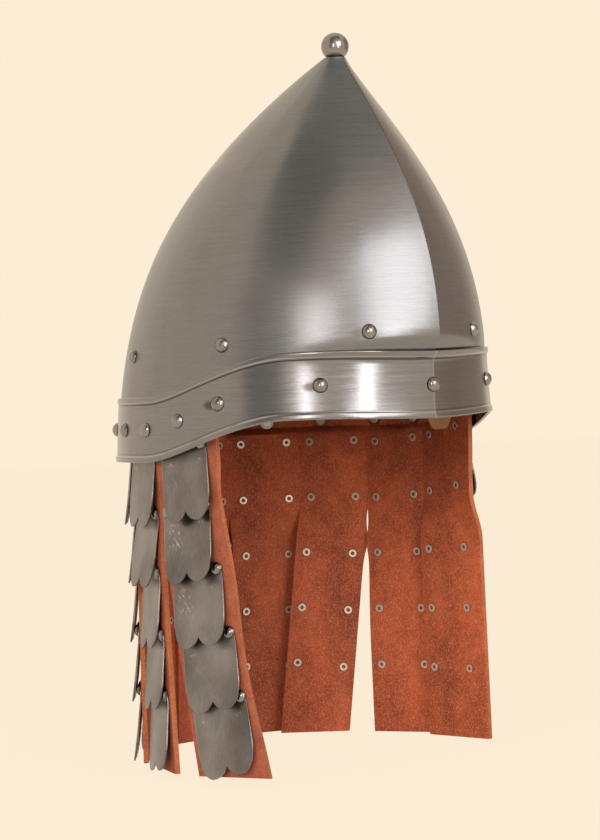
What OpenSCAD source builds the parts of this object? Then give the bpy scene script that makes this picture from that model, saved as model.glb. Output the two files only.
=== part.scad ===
// Helmet with a keeled two-part skull, an arched brow band and a scale neck curtain.
// Front is -Y, the wearer's left is +X, up is +Z. The origin is the middle of the head
// opening, in the plane of the band's lower edge at the sides and the back.
// Angles round the skull are measured from the front, positive towards the wearer's left.

/* [Skull] */
// Height of the flat at the top of the skull above the rim plane
skull_h = 221.4; // [200:0.2:250]
// Half width of the skull at the rim
skull_half_w = 98.7; // [96:0.1:108]
// Distance from the middle to the front of the skull at the rim
skull_front = 119.4; // [112:0.1:130]
// Distance from the middle to the back of the skull at the rim
skull_back = 118.5; // [114:0.1:130]
// How far the top leans forward of the middle
lean_forward = 41.1; // [0:0.1:50]
// Radius of the flat at the top
crown_flat_r = 6.55; // [6:0.05:10]
// Height at which the walls start to close in
dome_start = 13.8; // [8:0.2:20]
// Height at which the crown starts to lean forward
lean_start = 33.8; // [25:0.2:45]
// Half the height over which that lean and the flare below it set in
lean_ease = 20; // [10:1:25]
// Thickness of the skull's sheet
sheet = 1.2; // [0.8:0.1:1.6]
// Sharpness of the front keel at the rim
keel_low = 0.09; // [0.02:0.01:0.2]
// Sharpness of the front keel at the top
keel_high = 0.41; // [0.2:0.01:0.6]
// How far the front is set back under the band
brow_set = 7.2; // [0:0.1:9]
// Outward flare of the walls towards the rim, per millimetre of height
flare = 0.055; // [0.03:0.005:0.12]
// How far the skull's edge lies above the band's lower edge
skull_edge_up = 10; // [9:0.5:12]

/* [Brow band] */
// Height of the band
band_h = 36.3; // [34:0.1:40]
// Thickness of the band's sheet
band_sheet = 1.2; // [0.8:0.1:1.8]
// Rise of the arch over the brow
arch_rise = 20.6; // [10:0.1:26]
// Dip of the arch in its middle
brow_dip = 1.9; // [0:0.1:4]
// Angle from the front where the dip ends
dip_to = 40; // [25:1:45]
// Angle from the front where the arch starts to drop
arch_from = 46; // [40:1:55]
// Angle from the front where the arch has come down
arch_to = 98; // [90:1:110]
// Height of the raised line along each edge of the band
bead_h = 3.9; // [2:0.1:6]
// How far that line stands out
bead_out = 0.7; // [0.3:0.1:1.2]

/* [Rivets of the skull and the band] */
// Diameter of the dome heads
dome_d = 8.3; // [6:0.1:10]
// Height of the dome heads
dome_h = 2.9; // [1.5:0.1:4]
// Diameter of the shanks
shank_d = 3; // [2:0.1:3.6]
// Clearance round each shank
shank_play = 0.06; // [0.02:0.01:0.1]
// Diameter of the spread inner ends
spread_d = 5.4; // [4:0.1:6.4]
// Thickness of the spread inner ends
spread_t = 0.8; // [0.4:0.1:1.2]
// Diameter of the washers inside
washer_d = 8; // [6.6:0.1:10]
// Thickness of the washers
washer_t = 0.8; // [0.5:0.1:1.2]
// Angles of the brow rivets on each side of the middle one
brow_rivet_angles = [36.2, 67.5]; // [30:0.1:68]
// Angles of the rivets that hold the neck curtain on each side
curtain_rivet_angles = [82.5, 97.5, 112.5, 131.25, 150, 168.75]; // [78:0.1:172]
// Height of the liner rivets at the back
liner_rivet_z = 58.6; // [56:0.1:70]
// How much higher the liner rivets are at the front
liner_rivet_rise = 8.4; // [4:0.1:14]
// Number of liner rivets and liner tongues
liner_count = 8; // [6:2:8]

/* [Neck curtain] */
// Half width of the leather ring at the second row of rivets, at mid thickness
curtain_half_w = 93.9; // [90:0.1:94]
// Half length of that ring
curtain_half_l = 106.2; // [102:0.1:107]
// How much further out the leather is at the first row
yoke_out = 1.0; // [0.5:0.1:1.2]
// Thickness of the leather
leather = 2.8; // [2:0.1:2.9]
// Width of one strap with its slit
strap_w = 42.7; // [41:0.1:43.5]
// Extra leather at the front edge of the wearer's left and of the right side
front_margin = [4.7, 3]; // [0:0.1:7]
// How far the wearer's left front edge bends inward above the first scale
front_in = 0.7; // [0.5:0.1:0.9]
// Length of the leather below the second row of rivets
strap_len = 142.5; // [136:0.5:160]
// Gap between neighbouring straps
slit = 2.4; // [2.2:0.1:4]
// Height of the first row of rivets above the rim plane
row_1_up = 5.1; // [4.6:0.1:5.4]
// Distance between rows
row_pitch = 33.9; // [33:0.1:35]
// Distance from the second row up to the tops of the straps
strap_top_up = 7.4; // [7.2:0.1:9]
// Gap between the uncut leather and the tops of the straps
fold_gap = 0.5; // [0.4:0.1:1]
// Bevel at the top corners of each strap
top_cut = 3; // [2.8:0.1:4]

/* [Scales] */
// Width of a scale
scale_w = 34.5; // [33:0.1:36]
// Length of a scale below its rivets
scale_drop = 41; // [39:0.1:43]
// Length of a scale above its rivets
scale_rise = 4.6; // [4:0.1:5]
// Thickness of a scale
scale_t = 1; // [0.6:0.1:1.1]
// Distance between a scale's two rivets
rivet_pitch = 28.1; // [24:0.1:28.4]
// Half distance between the tips of a scale's two lobes
lobe_out = 8.8; // [8:0.1:9.4]
// Depth of a lobe's outer curve
lobe_h = 14; // [10:0.1:18]
// Radius of a lobe's inner curve, next to the notch
lobe_r = 9.6; // [9.5:0.1:11]
// Radius of the upper corners
scale_corner_r = 7; // [4:0.1:9]
// Angle at which the lower part of a scale stands off the leather
standoff = 8.5; // [8:0.1:10]
// That angle in the first row, whose scales the straps swing up against
first_standoff = 10.5; // [10:0.1:12]
// Length of the flat part below the rivets
scale_flat = 6.5; // [4.5:0.1:7]
// Diameter of a scale rivet's dome
scale_dome_d = 7.2; // [5:0.1:7.6]
// Height of a scale rivet's dome
scale_dome_h = 2.1; // [1.2:0.1:2.2]
// Diameter of the rolled inner end
roll_d = 5; // [4:0.1:6]
// Thickness of the rolled inner end
roll_t = 0.8; // [0.5:0.1:1]
// Diameter of the hollow in that end
hollow_d = 2.1; // [1:0.1:2.4]
// Depth of that hollow
hollow_depth = 3; // [1:0.1:4]

/* [Hang of the straps] */
// Shift of each strap along the ring, positive towards the wearer's right round the back
strap_shift = [0, 0, 0, 0, 0, 0, -1, -2, -3]; // [-3:0.1:0]
// Lean of each strap's lower end towards the wearer's right, round the back, in degrees
strap_lean = [0, 0, 6.5, 1.8, 1.8, 1.8, 1.8, 6, 11]; // [0:0.1:11]
// Turn of each strap about its own length, in degrees
strap_turn = [13, 13, 12, 15, 8, 4, 0, -4, 19]; // [-10:1:19]
// Turn of the uncut leather above each strap, in degrees
flat_turn = [0, 0, 0, 0, 0, 0, 0, 1, 6.5]; // [0:0.5:6.5]
// Distance below the second row where each strap starts to turn
turn_start = [4, 4, 4, 4, 4, 4, 4, 4, -20]; // [-20:1:6]
// Length over which each strap turns
turn_length = [26, 90, 26, 26, 26, 26, 26, 26, 120]; // [24:1:120]
// Outward slope of each strap, in degrees
strap_slope = [0.5, 0.5, -2.6, 2.4, 0.5, 0.5, 0.5, 0.8, 1.7]; // [-3:0.1:3]
// How much higher each strap's first two rows are
strap_rise = [4.6, 0, 0, 0, 0, 0, 0, 0, 3.4]; // [0:0.1:5]
// Tilt of the first row's scale on each strap, in degrees
strap_roll = [-10, -4, 0, 0, 0, 0, 0, 0, 8]; // [-10:0.5:10]
// Share of that tilt in each row
roll_share = [1, 0.75, 0.3, 0.15, 0.05]; // [0:0.05:1]
// Share of its strap's lean by which each row of rivets is turned, from the top
lean_share = [0, 0.15, 0.55, 0.8, 1.1]; // [0:0.05:1.1]

/* [Liner] */
// Thickness of the liner's leather
liner_t = 1.6; // [1:0.1:2]
// Height of the liner band
liner_band_h = 17; // [12:1:18]
// Width of a tongue
tongue_w = 38; // [24:1:42]
// Height of each tongue's lower tip above the rim plane, from the back round past the
// wearer's right
tongue_tip_z = [20, 20, 20, 20, 12, 20, 20, 20]; // [9:0.5:22]
// Height at which the tongues start to close over the head
tongue_bend_z = 85; // [80:1:95]
// Height of the ring where the tongues end
tongue_top_z = 158; // [140:1:165]
// Radius of that ring
tongue_ring_r = 22; // [20:1:35]
// How far the lower tips hang inward
tongue_inset = 17; // [14:0.5:22]

/* [Finial] */
// Diameter of the ball
ball_d = 15.6; // [13:0.1:18]
// Height of the ball's middle above the flat
ball_up = 6.4; // [5.5:0.1:7]
// Diameter of the stem
stem_d = 5; // [4:0.1:6]
// Width of the nut across its flats
nut_w = 8; // [7.6:0.1:9]
// Height of the nut
nut_h = 4; // [3:0.1:5]

/* [Hidden] */

steel = [0.62, 0.61, 0.59];
bright_steel = [0.72, 0.71, 0.69];
dark_steel = [0.45, 0.44, 0.43];
tan_leather = [0.66, 0.32, 0.17];
suede = [0.62, 0.44, 0.30];

// Gap between metal faces that lie on each other
touch = 0.1;
// Gap between leather and the curved face that it lies along
fit = 0.35;
// Gap between a scale and the leather below it
seat = 0.15;
straps = 9;
middle_strap = 5;
rows = 5;
skull_cols = 24;
full_turn = 360;
quarter = 90;
step = 1;

function smooth(x) = let (c = min(1, max(0, x))) c * c * (3 - 2 * c);
function unit(v) = v / norm(v);
function turned(v, a) = [v.x * cos(a) - v.y * sin(a), v.x * sin(a) + v.y * cos(a)];
function degrees(x) = x * 180 / PI;

// Share of the way up from the start of the dome to the flat
function share(z) = min(1, max(0, (z - dome_start) / (skull_h - dome_start)));
// The band's lower edge at angle t
function arch(t) = (arch_rise - brow_dip * (1 - smooth(abs(t) / dip_to)))
    * (1 - smooth((abs(t) - arch_from) / (arch_to - arch_from)));
brow_top = arch(0) + band_h;

// How far up each profile bulges, and how it rounds over to the flat
side_bulge = 2.8;
side_round = 1.24;
front_bulge = 2.23;
front_round = 1.108;
back_bulge = 3.13;
back_round = 0.815;
// Half width, front reach, back reach and middle of the skull at height z
function side_reach(z) = crown_flat_r
    + (skull_half_w - crown_flat_r) * pow(1 - pow(share(z), side_bulge), side_round);
function front_reach(z) = crown_flat_r
    + (skull_front - crown_flat_r) * pow(1 - pow(share(z), front_bulge), front_round);
function back_reach(z) = crown_flat_r
    + (skull_back - crown_flat_r) * pow(1 - pow(share(z), back_bulge), back_round);
function ramp(x) = x < -lean_ease ? 0 : x < lean_ease ? pow(x + lean_ease, 2) / (4 * lean_ease) : x;
function middle(z) = lean_forward * ramp(z - lean_start) / (skull_h - lean_start);
function widen(z) = flare * ramp(lean_start - z);
// The front is set back below the band's upper edge and comes forward above it
set_back_start = 6;
set_back_length = 15;
set_back_focus = 6;
function set_back(z) = brow_set * (1 - smooth((z - brow_top + set_back_start) / set_back_length));
function keel(z) = keel_low + (keel_high - keel_low) * share(z);

// The skull's section at height z and angle t, grown by out
function section(z, t, out = 0) =
    let (c = cos(t), k = c > 0 ? keel(z) : 0,
         reach = (c > 0 ? front_reach(z) : back_reach(z)) + widen(z) + out,
         along = reach * (abs(c) * (1 - k) + k * (1 - abs(sin(t)))),
         dip = c > 0 ? set_back(z) * pow(c, set_back_focus) : 0)
    [(side_reach(z) + widen(z) + out) * sin(t), -middle(z) + (c > 0 ? dip - along : along), z];

// Outward direction of the skull's surface
function facing(z, t) =
    let (high = min(z + step / 2, skull_h), low = high - step,
         across = section(z, t + step) - section(z, t - step),
         rise = section(high, t) - section(low, t))
    unit(cross(across, rise));
// Outward direction of the section, in plan
function outward(z, t) =
    let (across = section(z, t + step) - section(z, t - step)) unit([across.y, -across.x, 0]);
// A point below the skull's outer surface, and one beside it at the same height
function under(z, t, depth) = section(z, t) - depth * facing(z, t);
function beside(z, t, out) = section(z, t) + out * outward(z, t);

// Closed skin over a grid: the rows go down the outside and up the inside of a ring
module ring_skin(grid) {
    cols = len(grid[0]);
    function at(i, j) = (i % len(grid)) * cols + j % cols;
    faces = [for (i = [0 : len(grid) - 1], j = [0 : cols - 1])
        let (a = at(i, j), b = at(i, j + 1), c = at(i + 1, j + 1), d = at(i + 1, j))
        each (j < cols / 2 ? [[a, b, d], [b, c, d]] : [[a, b, c], [a, c, d]])];
    polyhedron([for (row = grid) each row], faces, convexity = 8);
}

// Sheet between an outer and an inner grid whose rows go up and whose columns go round
module plate(outer, inner) {
    cols = len(outer[0]);
    last = len(outer) - 1;
    n = len(outer) * cols;
    function at(i, j) = i * cols + j;
    front = [for (i = [0 : last - 1], j = [0 : cols - 2])
        each [[at(i, j), at(i + 1, j + 1), at(i, j + 1)],
              [at(i, j), at(i + 1, j), at(i + 1, j + 1)]]];
    back = [for (f = front) [f[0] + n, f[2] + n, f[1] + n]];
    rim = concat([for (j = [0 : cols - 1]) at(0, j)],
                 [for (i = [1 : last]) at(i, cols - 1)],
                 [for (j = [cols - 2 : -1 : 0]) at(last, j)],
                 [for (i = [last - 1 : -1 : 1]) at(i, 0)]);
    edge = [for (k = [0 : len(rim) - 1])
        let (a = rim[k], b = rim[(k + 1) % len(rim)]) each [[a, b, b + n], [a, b + n, a + n]]];
    polyhedron([for (row = concat(outer, inner)) each row], concat(front, back, edge),
               convexity = 8);
}

// Places children with x and y along the given directions and z square to both
module frame(origin, x, y, roll = 0) {
    u = x * cos(roll) + y * sin(roll);
    v = y * cos(roll) - x * sin(roll);
    w = cross(x, y);
    multmatrix([[u.x, v.x, w.x, origin.x], [u.y, v.y, w.y, origin.y],
                [u.z, v.z, w.z, origin.z], [0, 0, 0, 1]]) children();
}

// Places children on the skull's outer surface with z outward
module on_skull(z, t, out = 0) {
    n = facing(z, t);
    x = unit([-n.y, n.x, 0]);
    frame(section(z, t) + out * n, x, cross(n, x)) children();
}

// One turned rivet: its head's underside is at z = 0 and the shank goes down by grip
module rivet(head_d, head_h, grip, end_d, end_t, bore_d = 0, bore_h = 0) {
    ball = (pow(head_d / 2, 2) + head_h * head_h) / (2 * head_h);
    span = asin(head_d / 2 / ball);
    arcs = 8;
    edge = end_t * 0.3;
    low = -grip - end_t;
    head = [for (i = [0 : arcs]) let (a = span * i / arcs)
        [ball * sin(a), ball * cos(a) - ball + head_h]];
    end = [[shank_d / 2, 0], [shank_d / 2, -grip], [end_d / 2 - edge, -grip],
           [end_d / 2, -grip - edge], [end_d / 2, low + edge], [end_d / 2 - edge, low]];
    bore = bore_d > 0
        ? [[bore_d / 2 + edge / 2, low], [bore_d / 2, low + edge / 2], [bore_d / 2, low + bore_h],
           [0, low + bore_h]]
        : [[0, low]];
    rotate_extrude($fn = 48) polygon(concat(head, end, bore));
}

// Through hole for a shank, from z = up down to z = -down
module shank_hole(up, down) {
    translate([0, 0, -down])
        cylinder(d = shank_d + 2 * shank_play, h = up + down, $fn = 48);
}

// Rivets of the band and the liner, on both sides
brow_angles = concat([0], [for (a = brow_rivet_angles) each [a, -a]]);
curtain_angles = [for (a = curtain_rivet_angles) each [a, -a]];
liner_angles = [for (i = [0 : liner_count - 1]) (i + 0.5) * full_turn / liner_count - full_turn / 2];
function band_rivet_z(t) = arch(t) + band_h / 2;
function liner_rivet_z_at(t) = liner_rivet_z + liner_rivet_rise * pow((1 + cos(t)) / 2, 2);

// Depths below the skull's outer surface
band_face = touch + band_sheet;
yoke_depth = sheet + fit + touch;
yoke_in = yoke_depth + leather;
liner_depth = sheet + fit;
liner_in = liner_depth + liner_t;
tongue_depth = liner_in + 2 * fit;
tongue_in = tongue_depth + liner_t;
hole_reach = 12;

module band_holes() {
    for (t = concat(brow_angles, curtain_angles))
        on_skull(band_rivet_z(t), t) shank_hole(hole_reach, hole_reach);
}

module liner_holes() {
    for (t = liner_angles) on_skull(liner_rivet_z_at(t), t) shank_hole(hole_reach, hole_reach);
}

// Heights above the band's lower edge where skull and band share their rows of points
inner_row = 16;
shared_rows = [skull_edge_up, band_h - inner_row, band_h - set_back_start,
    band_h - set_back_start / 2, band_h];
skull_rows = 18;
row_crowding = 1.7;
above_band = [3, 6, 9];
blend_top = band_h + above_band[len(above_band) - 1];
function skull_z(i, t) = i < len(shared_rows) ? arch(t) + shared_rows[i]
    : i < len(shared_rows) + len(above_band)
    ? arch(t) + band_h + above_band[i - len(shared_rows)]
    : let (k = i - len(shared_rows) - len(above_band) + 1, low = arch(t) + blend_top)
      low + (skull_h - low) * (1 - pow(1 - k / skull_rows, row_crowding));

module skull_half() {
    count = len(shared_rows) + len(above_band) + skull_rows;
    angles = [for (j = [0 : skull_cols]) j * full_turn / 2 / skull_cols];
    top = [0, -lean_forward, skull_h];
    core = [for (t = angles) top + [sin(t), -cos(t), 0]];
    outer = [for (i = [0 : count - 1]) [for (t = angles) section(skull_z(i, t), t)]];
    inner = [for (i = [0 : count - 1]) [for (t = angles) under(skull_z(i, t), t, sheet)]];
    difference() {
        plate(concat(outer, [core]), concat(inner, [[for (p = core) p - [0, 0, sheet]]]));
        band_holes();
        liner_holes();
        translate([0, -lean_forward, skull_h - 2 * sheet])
            cylinder(d = stem_d + 2 * shank_play, h = 4 * sheet, $fn = 48);
    }
}

module skull_left() {
    color(steel) skull_half();
}

module skull_right() {
    color(steel) mirror([1, 0, 0]) skull_half();
}

bead_edge = 0.15;
bead_slope = 0.77;
bead_foot = 0.6;
module brow_band() {
    angles = [for (j = [0 : 2 * skull_cols - 1]) (j - skull_cols) * full_turn / 2 / skull_cols];
    edge = bead_h * bead_edge;
    slope = bead_h * bead_slope;
    lower = [[bead_h, 0], [slope, bead_out], [edge, bead_out], [0, bead_out * bead_foot]];
    upper = [for (i = [len(lower) - 1 : -1 : 0]) [band_h - lower[i][0], lower[i][1]]];
    plain = [[band_h - set_back_start, 0], [band_h - inner_row, 0], [skull_edge_up, 0]];
    outside = [for (p = concat(upper, plain, lower)) [p[0], band_face + p[1]]];
    inside = [for (h = concat([0], shared_rows)) [h, touch]];
    color(steel) difference() {
        ring_skin([for (p = concat(outside, inside)) [for (t = angles)
            let (z = arch(t) + p[0]) beside(z, t, p[1])]]);
        band_holes();
    }
}

stem_past_nut = 3;
module finial() {
    color(dark_steel) translate([0, -lean_forward, skull_h]) {
        intersection() {
            translate([0, 0, ball_up]) sphere(d = ball_d, $fn = 96);
            translate([0, 0, touch]) cylinder(d = 2 * ball_d, h = 2 * ball_d, $fn = 48);
        }
        translate([0, 0, -sheet - nut_h - stem_past_nut])
            cylinder(d = stem_d, h = sheet + nut_h + stem_past_nut + ball_up, $fn = 48);
    }
}

module finial_nut() {
    color(dark_steel) translate([0, -lean_forward, skull_h - sheet - fit - touch - nut_h])
        difference() {
            cylinder(d = nut_w / cos(30), h = nut_h, $fn = 6);
            translate([0, 0, -1]) cylinder(d = stem_d + 2 * shank_play, h = nut_h + 2, $fn = 48);
        }
}

module brow_rivets() {
    color(bright_steel) for (t = brow_angles) on_skull(band_rivet_z(t), t, band_face + 2 * touch)
        rivet(dome_d, dome_h, band_face + sheet + 4 * touch + fit, spread_d, spread_t);
}

module curtain_rivets() {
    color(bright_steel) for (t = curtain_angles) on_skull(band_rivet_z(t), t, band_face + 2 * touch)
        rivet(dome_d, dome_h, band_face + yoke_in + fit + washer_t + 4 * touch, spread_d,
              spread_t);
}

module rivet_washers() {
    color(bright_steel) for (t = curtain_angles)
        on_skull(band_rivet_z(t), t, -yoke_in - fit - touch - washer_t) washer();
}

module washer() {
    difference() {
        cylinder(d = washer_d, h = washer_t, $fn = 48);
        translate([0, 0, -1]) cylinder(d = shank_d + 2 * shank_play, h = washer_t + 2, $fn = 48);
    }
}

module liner_rivets() {
    color(bright_steel) for (t = liner_angles) on_skull(liner_rivet_z_at(t), t, touch)
        rivet(dome_d, dome_h, tongue_in + fit + washer_t + 2 * touch, spread_d, spread_t);
}

module liner_washers() {
    color(bright_steel) for (t = liner_angles)
        on_skull(liner_rivet_z_at(t), t, -tongue_in - fit - washer_t) washer();
}

module liner_band() {
    angles = [for (j = [0 : 2 * skull_cols - 1]) (j - skull_cols) * full_turn / 2 / skull_cols];
    heights = [for (i = [-2 : 2]) i * liner_band_h / 4];
    down = [for (i = [4 : -1 : 0]) [heights[i], liner_depth]];
    up = [for (h = heights) [h, liner_in]];
    color(suede) difference() {
        ring_skin([for (p = concat(down, up)) [for (t = angles)
            under(liner_rivet_z_at(t) + p[0], t, p[1])]]);
        liner_holes();
    }
}

// A tongue hangs from the liner band to its tip and closes over the head above it
tongue_tip_rows = [0, 3, 8, 16];
plain_rows = 3;
tongue_arc_rows = 6;
tongue_sides = [-1, -0.5, 0, 0.5, 1];
tongue_ring_angle = 14;
tip_share = 0.3;
hang_end_down = 12;
hang_end = liner_rivet_z - hang_end_down;
function tongue_rows(a, tip_z) =
    let (rest = liner_rivet_z_at(a), low = tip_z + tongue_tip_rows[len(tongue_tip_rows) - 1],
         high = rest - liner_band_h / 2)
    concat([for (h = tongue_tip_rows) [tip_z + h, 0]],
           [for (i = [1 : plain_rows - 1]) [low + (high - low) * i / plain_rows, 0]],
           [for (i = [-2 : 2]) [rest + i * liner_band_h / 4, 0]],
           [for (i = [0 : tongue_arc_rows]) [tongue_bend_z, quarter * i / tongue_arc_rows]]);
function tongue_half(up, bend) =
    let (tip = min(1, up / tongue_tip_rows[len(tongue_tip_rows) - 1]), full = tongue_w / 2,
         end = tongue_ring_r * sin(tongue_ring_angle))
    bend > 0 ? end + (full - end) * cos(bend)
    : full * (tip_share + (1 - tip_share) * sqrt(1 - pow(1 - tip, 2)));
function tongue_point(a, tip_z, row, side, more) =
    let (z = row[0] + (tongue_top_z - tongue_bend_z) * sin(row[1]),
         per_degree = norm(section(z, a + step) - section(z, a - step)) / 2 / step,
         t = a + side * tongue_half(row[0] - tip_z, row[1]) / per_degree,
         hang = tongue_inset * (1 - smooth((z - tip_z) / (hang_end - tip_z))),
         wall = under(z, t, tongue_depth + hang + more),
         end_t = a + side * tongue_ring_angle,
         end = [tongue_ring_r * sin(end_t), -middle(tongue_bend_z) - tongue_ring_r * cos(end_t)],
         pull = 1 - cos(row[1]))
    [wall.x + (end.x - wall.x) * pull, wall.y + (end.y - wall.y) * pull, z - more * sin(row[1])];

module liner_tongues() {
    color(suede) difference() {
        for (i = [0 : liner_count - 1])
            let (a = liner_angles[i], tip_z = tongue_tip_z[i], rows = tongue_rows(a, tip_z))
            plate([for (row = rows) [for (s = tongue_sides) tongue_point(a, tip_z, row, s, 0)]],
                  [for (row = rows) [for (s = tongue_sides)
                      tongue_point(a, tip_z, row, s, liner_t)]]);
        liner_holes();
    }
}

// Ring of the curtain's leather at mid thickness, by the distance along it from the back,
// positive towards the wearer's right
long_2 = pow(curtain_half_l, 2);
wide_2 = pow(curtain_half_w, 2);
ring_r = sqrt((long_2 + wide_2) / 2);
ring_oval = (long_2 - wide_2) / (long_2 + wide_2) / 4;
function ring_angle(s, n = 5) =
    degrees(s / ring_r + (n > 0 ? ring_oval * sin(2 * ring_angle(s, n - 1)) : 0));
function strap_angle(k) = ring_angle((k - middle_strap) * strap_w + strap_shift[k - 1]);
// Directions along and out of the leather at a strap's middle, in plan
function strap_along(k) =
    let (a = strap_angle(k))
    turned(unit([-curtain_half_w * cos(a), -curtain_half_l * sin(a)]), flat_turn[k - 1]);
function strap_out(k) = let (e = strap_along(k)) [e.y, -e.x];
// The leather lies flat through both rivets of a scale
function strap_mid(k) =
    let (a = strap_angle(k),
         inset = pow(rivet_pitch / 2, 2) / (2 * ring_r) + rivet_pitch / 2 * sin(flat_turn[k - 1]))
    [-curtain_half_w * sin(a), curtain_half_l * cos(a)] - inset * strap_out(k);

row_2_z = row_1_up - row_pitch;
yoke_slope = yoke_out / row_pitch;
yoke_bottom = strap_top_up + fold_gap;
strap_half = (strap_w - slit) / 2;
function rise(k) = strap_rise[k - 1];
function roll(k, row) = strap_roll[k - 1] * roll_share[row - 1]
    + strap_lean[k - 1] * lean_share[row - 1];
// Point of the flat leather of strap k at distance along it and height z, with out more
function flat_point(k, along, z, out = 0) =
    let (p = strap_mid(k) + along * strap_along(k)
             + (out + yoke_slope * (z - row_2_z)) * strap_out(k)) [p.x, p.y, z];
// Corner where the flats of straps k and k + 1 meet
function corner_point(k, z, out) =
    let (n = strap_out(k), m = strap_out(k + 1), extra = out + yoke_slope * (z - row_2_z),
         d = n * strap_mid(k) + extra, e = m * strap_mid(k + 1) + extra,
         det = n.x * m.y - n.y * m.x)
    [(d * m.y - e * n.y) / det, (e * n.x - d * m.x) / det, z];

// Columns of the uncut leather: strap number, position on it from -2 to 2
yoke_columns = concat([for (k = [1 : straps], i = [-2 : 1]) [k, i]], [[straps, 2]]);
function yoke_along(k, i) = i * strap_w / 4
    + (k == 1 && i == -2 ? -front_margin[0] : 0) + (k == straps && i == 2 ? front_margin[1] : 0);
// The front corners are cut back where the leather lies in the band
function yoke_skull_angle(k, i) =
    let (shift = i == -2 && k > 1 ? (strap_shift[k - 2] + strap_shift[k - 1]) / 2 : strap_shift[k - 1],
         a = ring_angle((k - middle_strap) * strap_w + i * strap_w / 4 + shift))
    a > 0 ? a - 180 : a + 180;
function yoke_low(k, i, z, out) =
    i == -2 && k > 1 ? corner_point(k - 1, z, out) : flat_point(k, yoke_along(k, i), z, out);
function bottom_z(k, i) = i == -2 && k > 1
    ? row_2_z + yoke_bottom + max(rise(k), rise(k - 1)) : row_2_z + yoke_bottom + rise(k);
yoke_top_share = 0.74;
yoke_rows = [(band_h - washer_d) / 2 - 2 * fit, band_h / 2, band_h * yoke_top_share];

// Height on strap k at distance along it just above the first scale, where the uncut
// leather starts to turn outward to the skull
function above_scale(k, along) = row_1_up + rise(k) + scale_rise + fit + along * sin(roll(k, 1));
function knee(k, i) = i == -2 && k > 1
    ? (above_scale(k, -strap_w / 2) + above_scale(k - 1, strap_w / 2)) / 2
    : above_scale(k, yoke_along(k, i));

// One column of the uncut leather from the fold up, at its outer or inner face
function yoke_column(k, i, inside) =
    let (t = yoke_skull_angle(k, i), out = leather / 2 * (inside ? -1 : 1),
         at_edge = k == 1 && i == -2)
    concat([yoke_low(k, i, bottom_z(k, i), out),
            yoke_low(k, i, knee(k, i), out - (at_edge ? front_in : 0))],
           [for (h = yoke_rows) beside(arch(t) + h, t, -(inside ? yoke_in : yoke_depth))]);

module curtain_yoke() {
    outside = [for (c = yoke_columns) yoke_column(c[0], c[1], false)];
    inside = [for (c = yoke_columns) yoke_column(c[0], c[1], true)];
    levels = [0 : len(outside[0]) - 1];
    color(tan_leather) difference() {
        plate([for (i = levels) [for (column = outside) column[i]]],
              [for (i = levels) [for (column = inside) column[i]]]);
        band_holes();
        for (k = [1 : straps]) on_yoke(k) rivet_holes();
    }
}

// Places children at the middle of the first row's rivets on strap k's flat, z outward
module on_yoke(k) {
    e = strap_along(k);
    n = strap_out(k);
    frame(flat_point(k, 0, row_1_up + rise(k)), [e.x, e.y, 0],
          unit([n.x * yoke_slope, n.y * yoke_slope, 1]), roll(k, 1)) children();
}

// Middle of strap k at distance s below its second row of rivets
function strap_point(k, s) =
    let (p = flat_point(k, 0, row_2_z + rise(k)), e = strap_along(k), n = strap_out(k),
         side = e * tan(strap_lean[k - 1]) + n * tan(strap_slope[k - 1]))
    p + s * [side.x, side.y, -1];
function turn_at(k, s) = (strap_turn[k - 1] - flat_turn[k - 1])
    * smooth((s - turn_start[k - 1]) / turn_length[k - 1]);
function strap_across(k, s) = turned(strap_along(k), turn_at(k, s));
function row_down(k, row) = (row - 2) * (row_pitch + rise(k) / 3);
// A scale stands off further where the leather turns below it
function stand(k, row) = (row > 1 ? standoff : first_standoff) + (row == rows ? 0
    : let (more = turn_at(k, row_down(k, row + 1)) - (row > 1 ? turn_at(k, row_down(k, row)) : 0))
      degrees(rivet_pitch / 2 * sin(abs(more)) / (row_pitch - scale_flat)));

// Gap below a scale's flat part, larger where the leather turns under it
function gap(k, row) = seat + (row == 1 ? 0 : scale_w / 2 * sin(abs(
    turn_at(k, row_down(k, row) + scale_flat) - turn_at(k, row_down(k, row)))));

// Places children at the middle of a row's rivets on strap k, z outward
module on_strap(k, row) {
    s = row_down(k, row);
    e = strap_across(k, s);
    x = [e.x, e.y, 0];
    up = strap_point(k, s - 1) - strap_point(k, s);
    frame(strap_point(k, s), x, unit(up - (up * x) * x), roll(k, row)) children();
}

// The bends of a strap start no nearer to its second row of rivets than this
bend_from = 4;
bends = 6;
function turn_bend(k) = turn_length[k - 1] + min(turn_start[k - 1], bend_from) - bend_from;

module strap(k) {
    stations = concat([-strap_top_up, top_cut - strap_top_up],
        [for (i = [0 : bends]) max(turn_start[k - 1], bend_from) + turn_bend(k) * i / bends],
        [strap_len + rise(k)]);
    left = k == 1 ? strap_w / 2 + front_margin[0] : strap_half;
    right = k == straps ? strap_w / 2 + front_margin[1] : strap_half;
    function ring(s) =
        let (p = strap_point(k, s), e = strap_across(k, s), x = [e.x, e.y, 0],
             y = [e.y, -e.x, 0] * leather / 2, cut = max(0, top_cut - strap_top_up - s))
        [p - x * (left - cut) + y, p + x * (right - cut) + y,
         p + x * (right - cut) - y, p - x * (left - cut) - y];
    rings = [for (s = stations) ring(s)];
    n = len(rings);
    walls = [for (i = [0 : n - 2], j = [0 : 3])
        let (a = 4 * i + j, b = 4 * i + (j + 1) % 4) each [[a, b + 4, a + 4], [a, b, b + 4]]];
    color(tan_leather) difference() {
        polyhedron([for (r = rings) each r],
                   concat(walls, [[3, 2, 1, 0], [for (j = [0 : 3]) 4 * (n - 1) + j]]),
                   convexity = 4);
        for (row = [2 : rows]) on_strap(k, row) rivet_holes();
    }
}

// Both shank holes of one scale
module rivet_holes() {
    for (x = [-1, 1] * rivet_pitch / 2) translate([x, 0, 0]) shank_hole(leather, leather);
}

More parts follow.
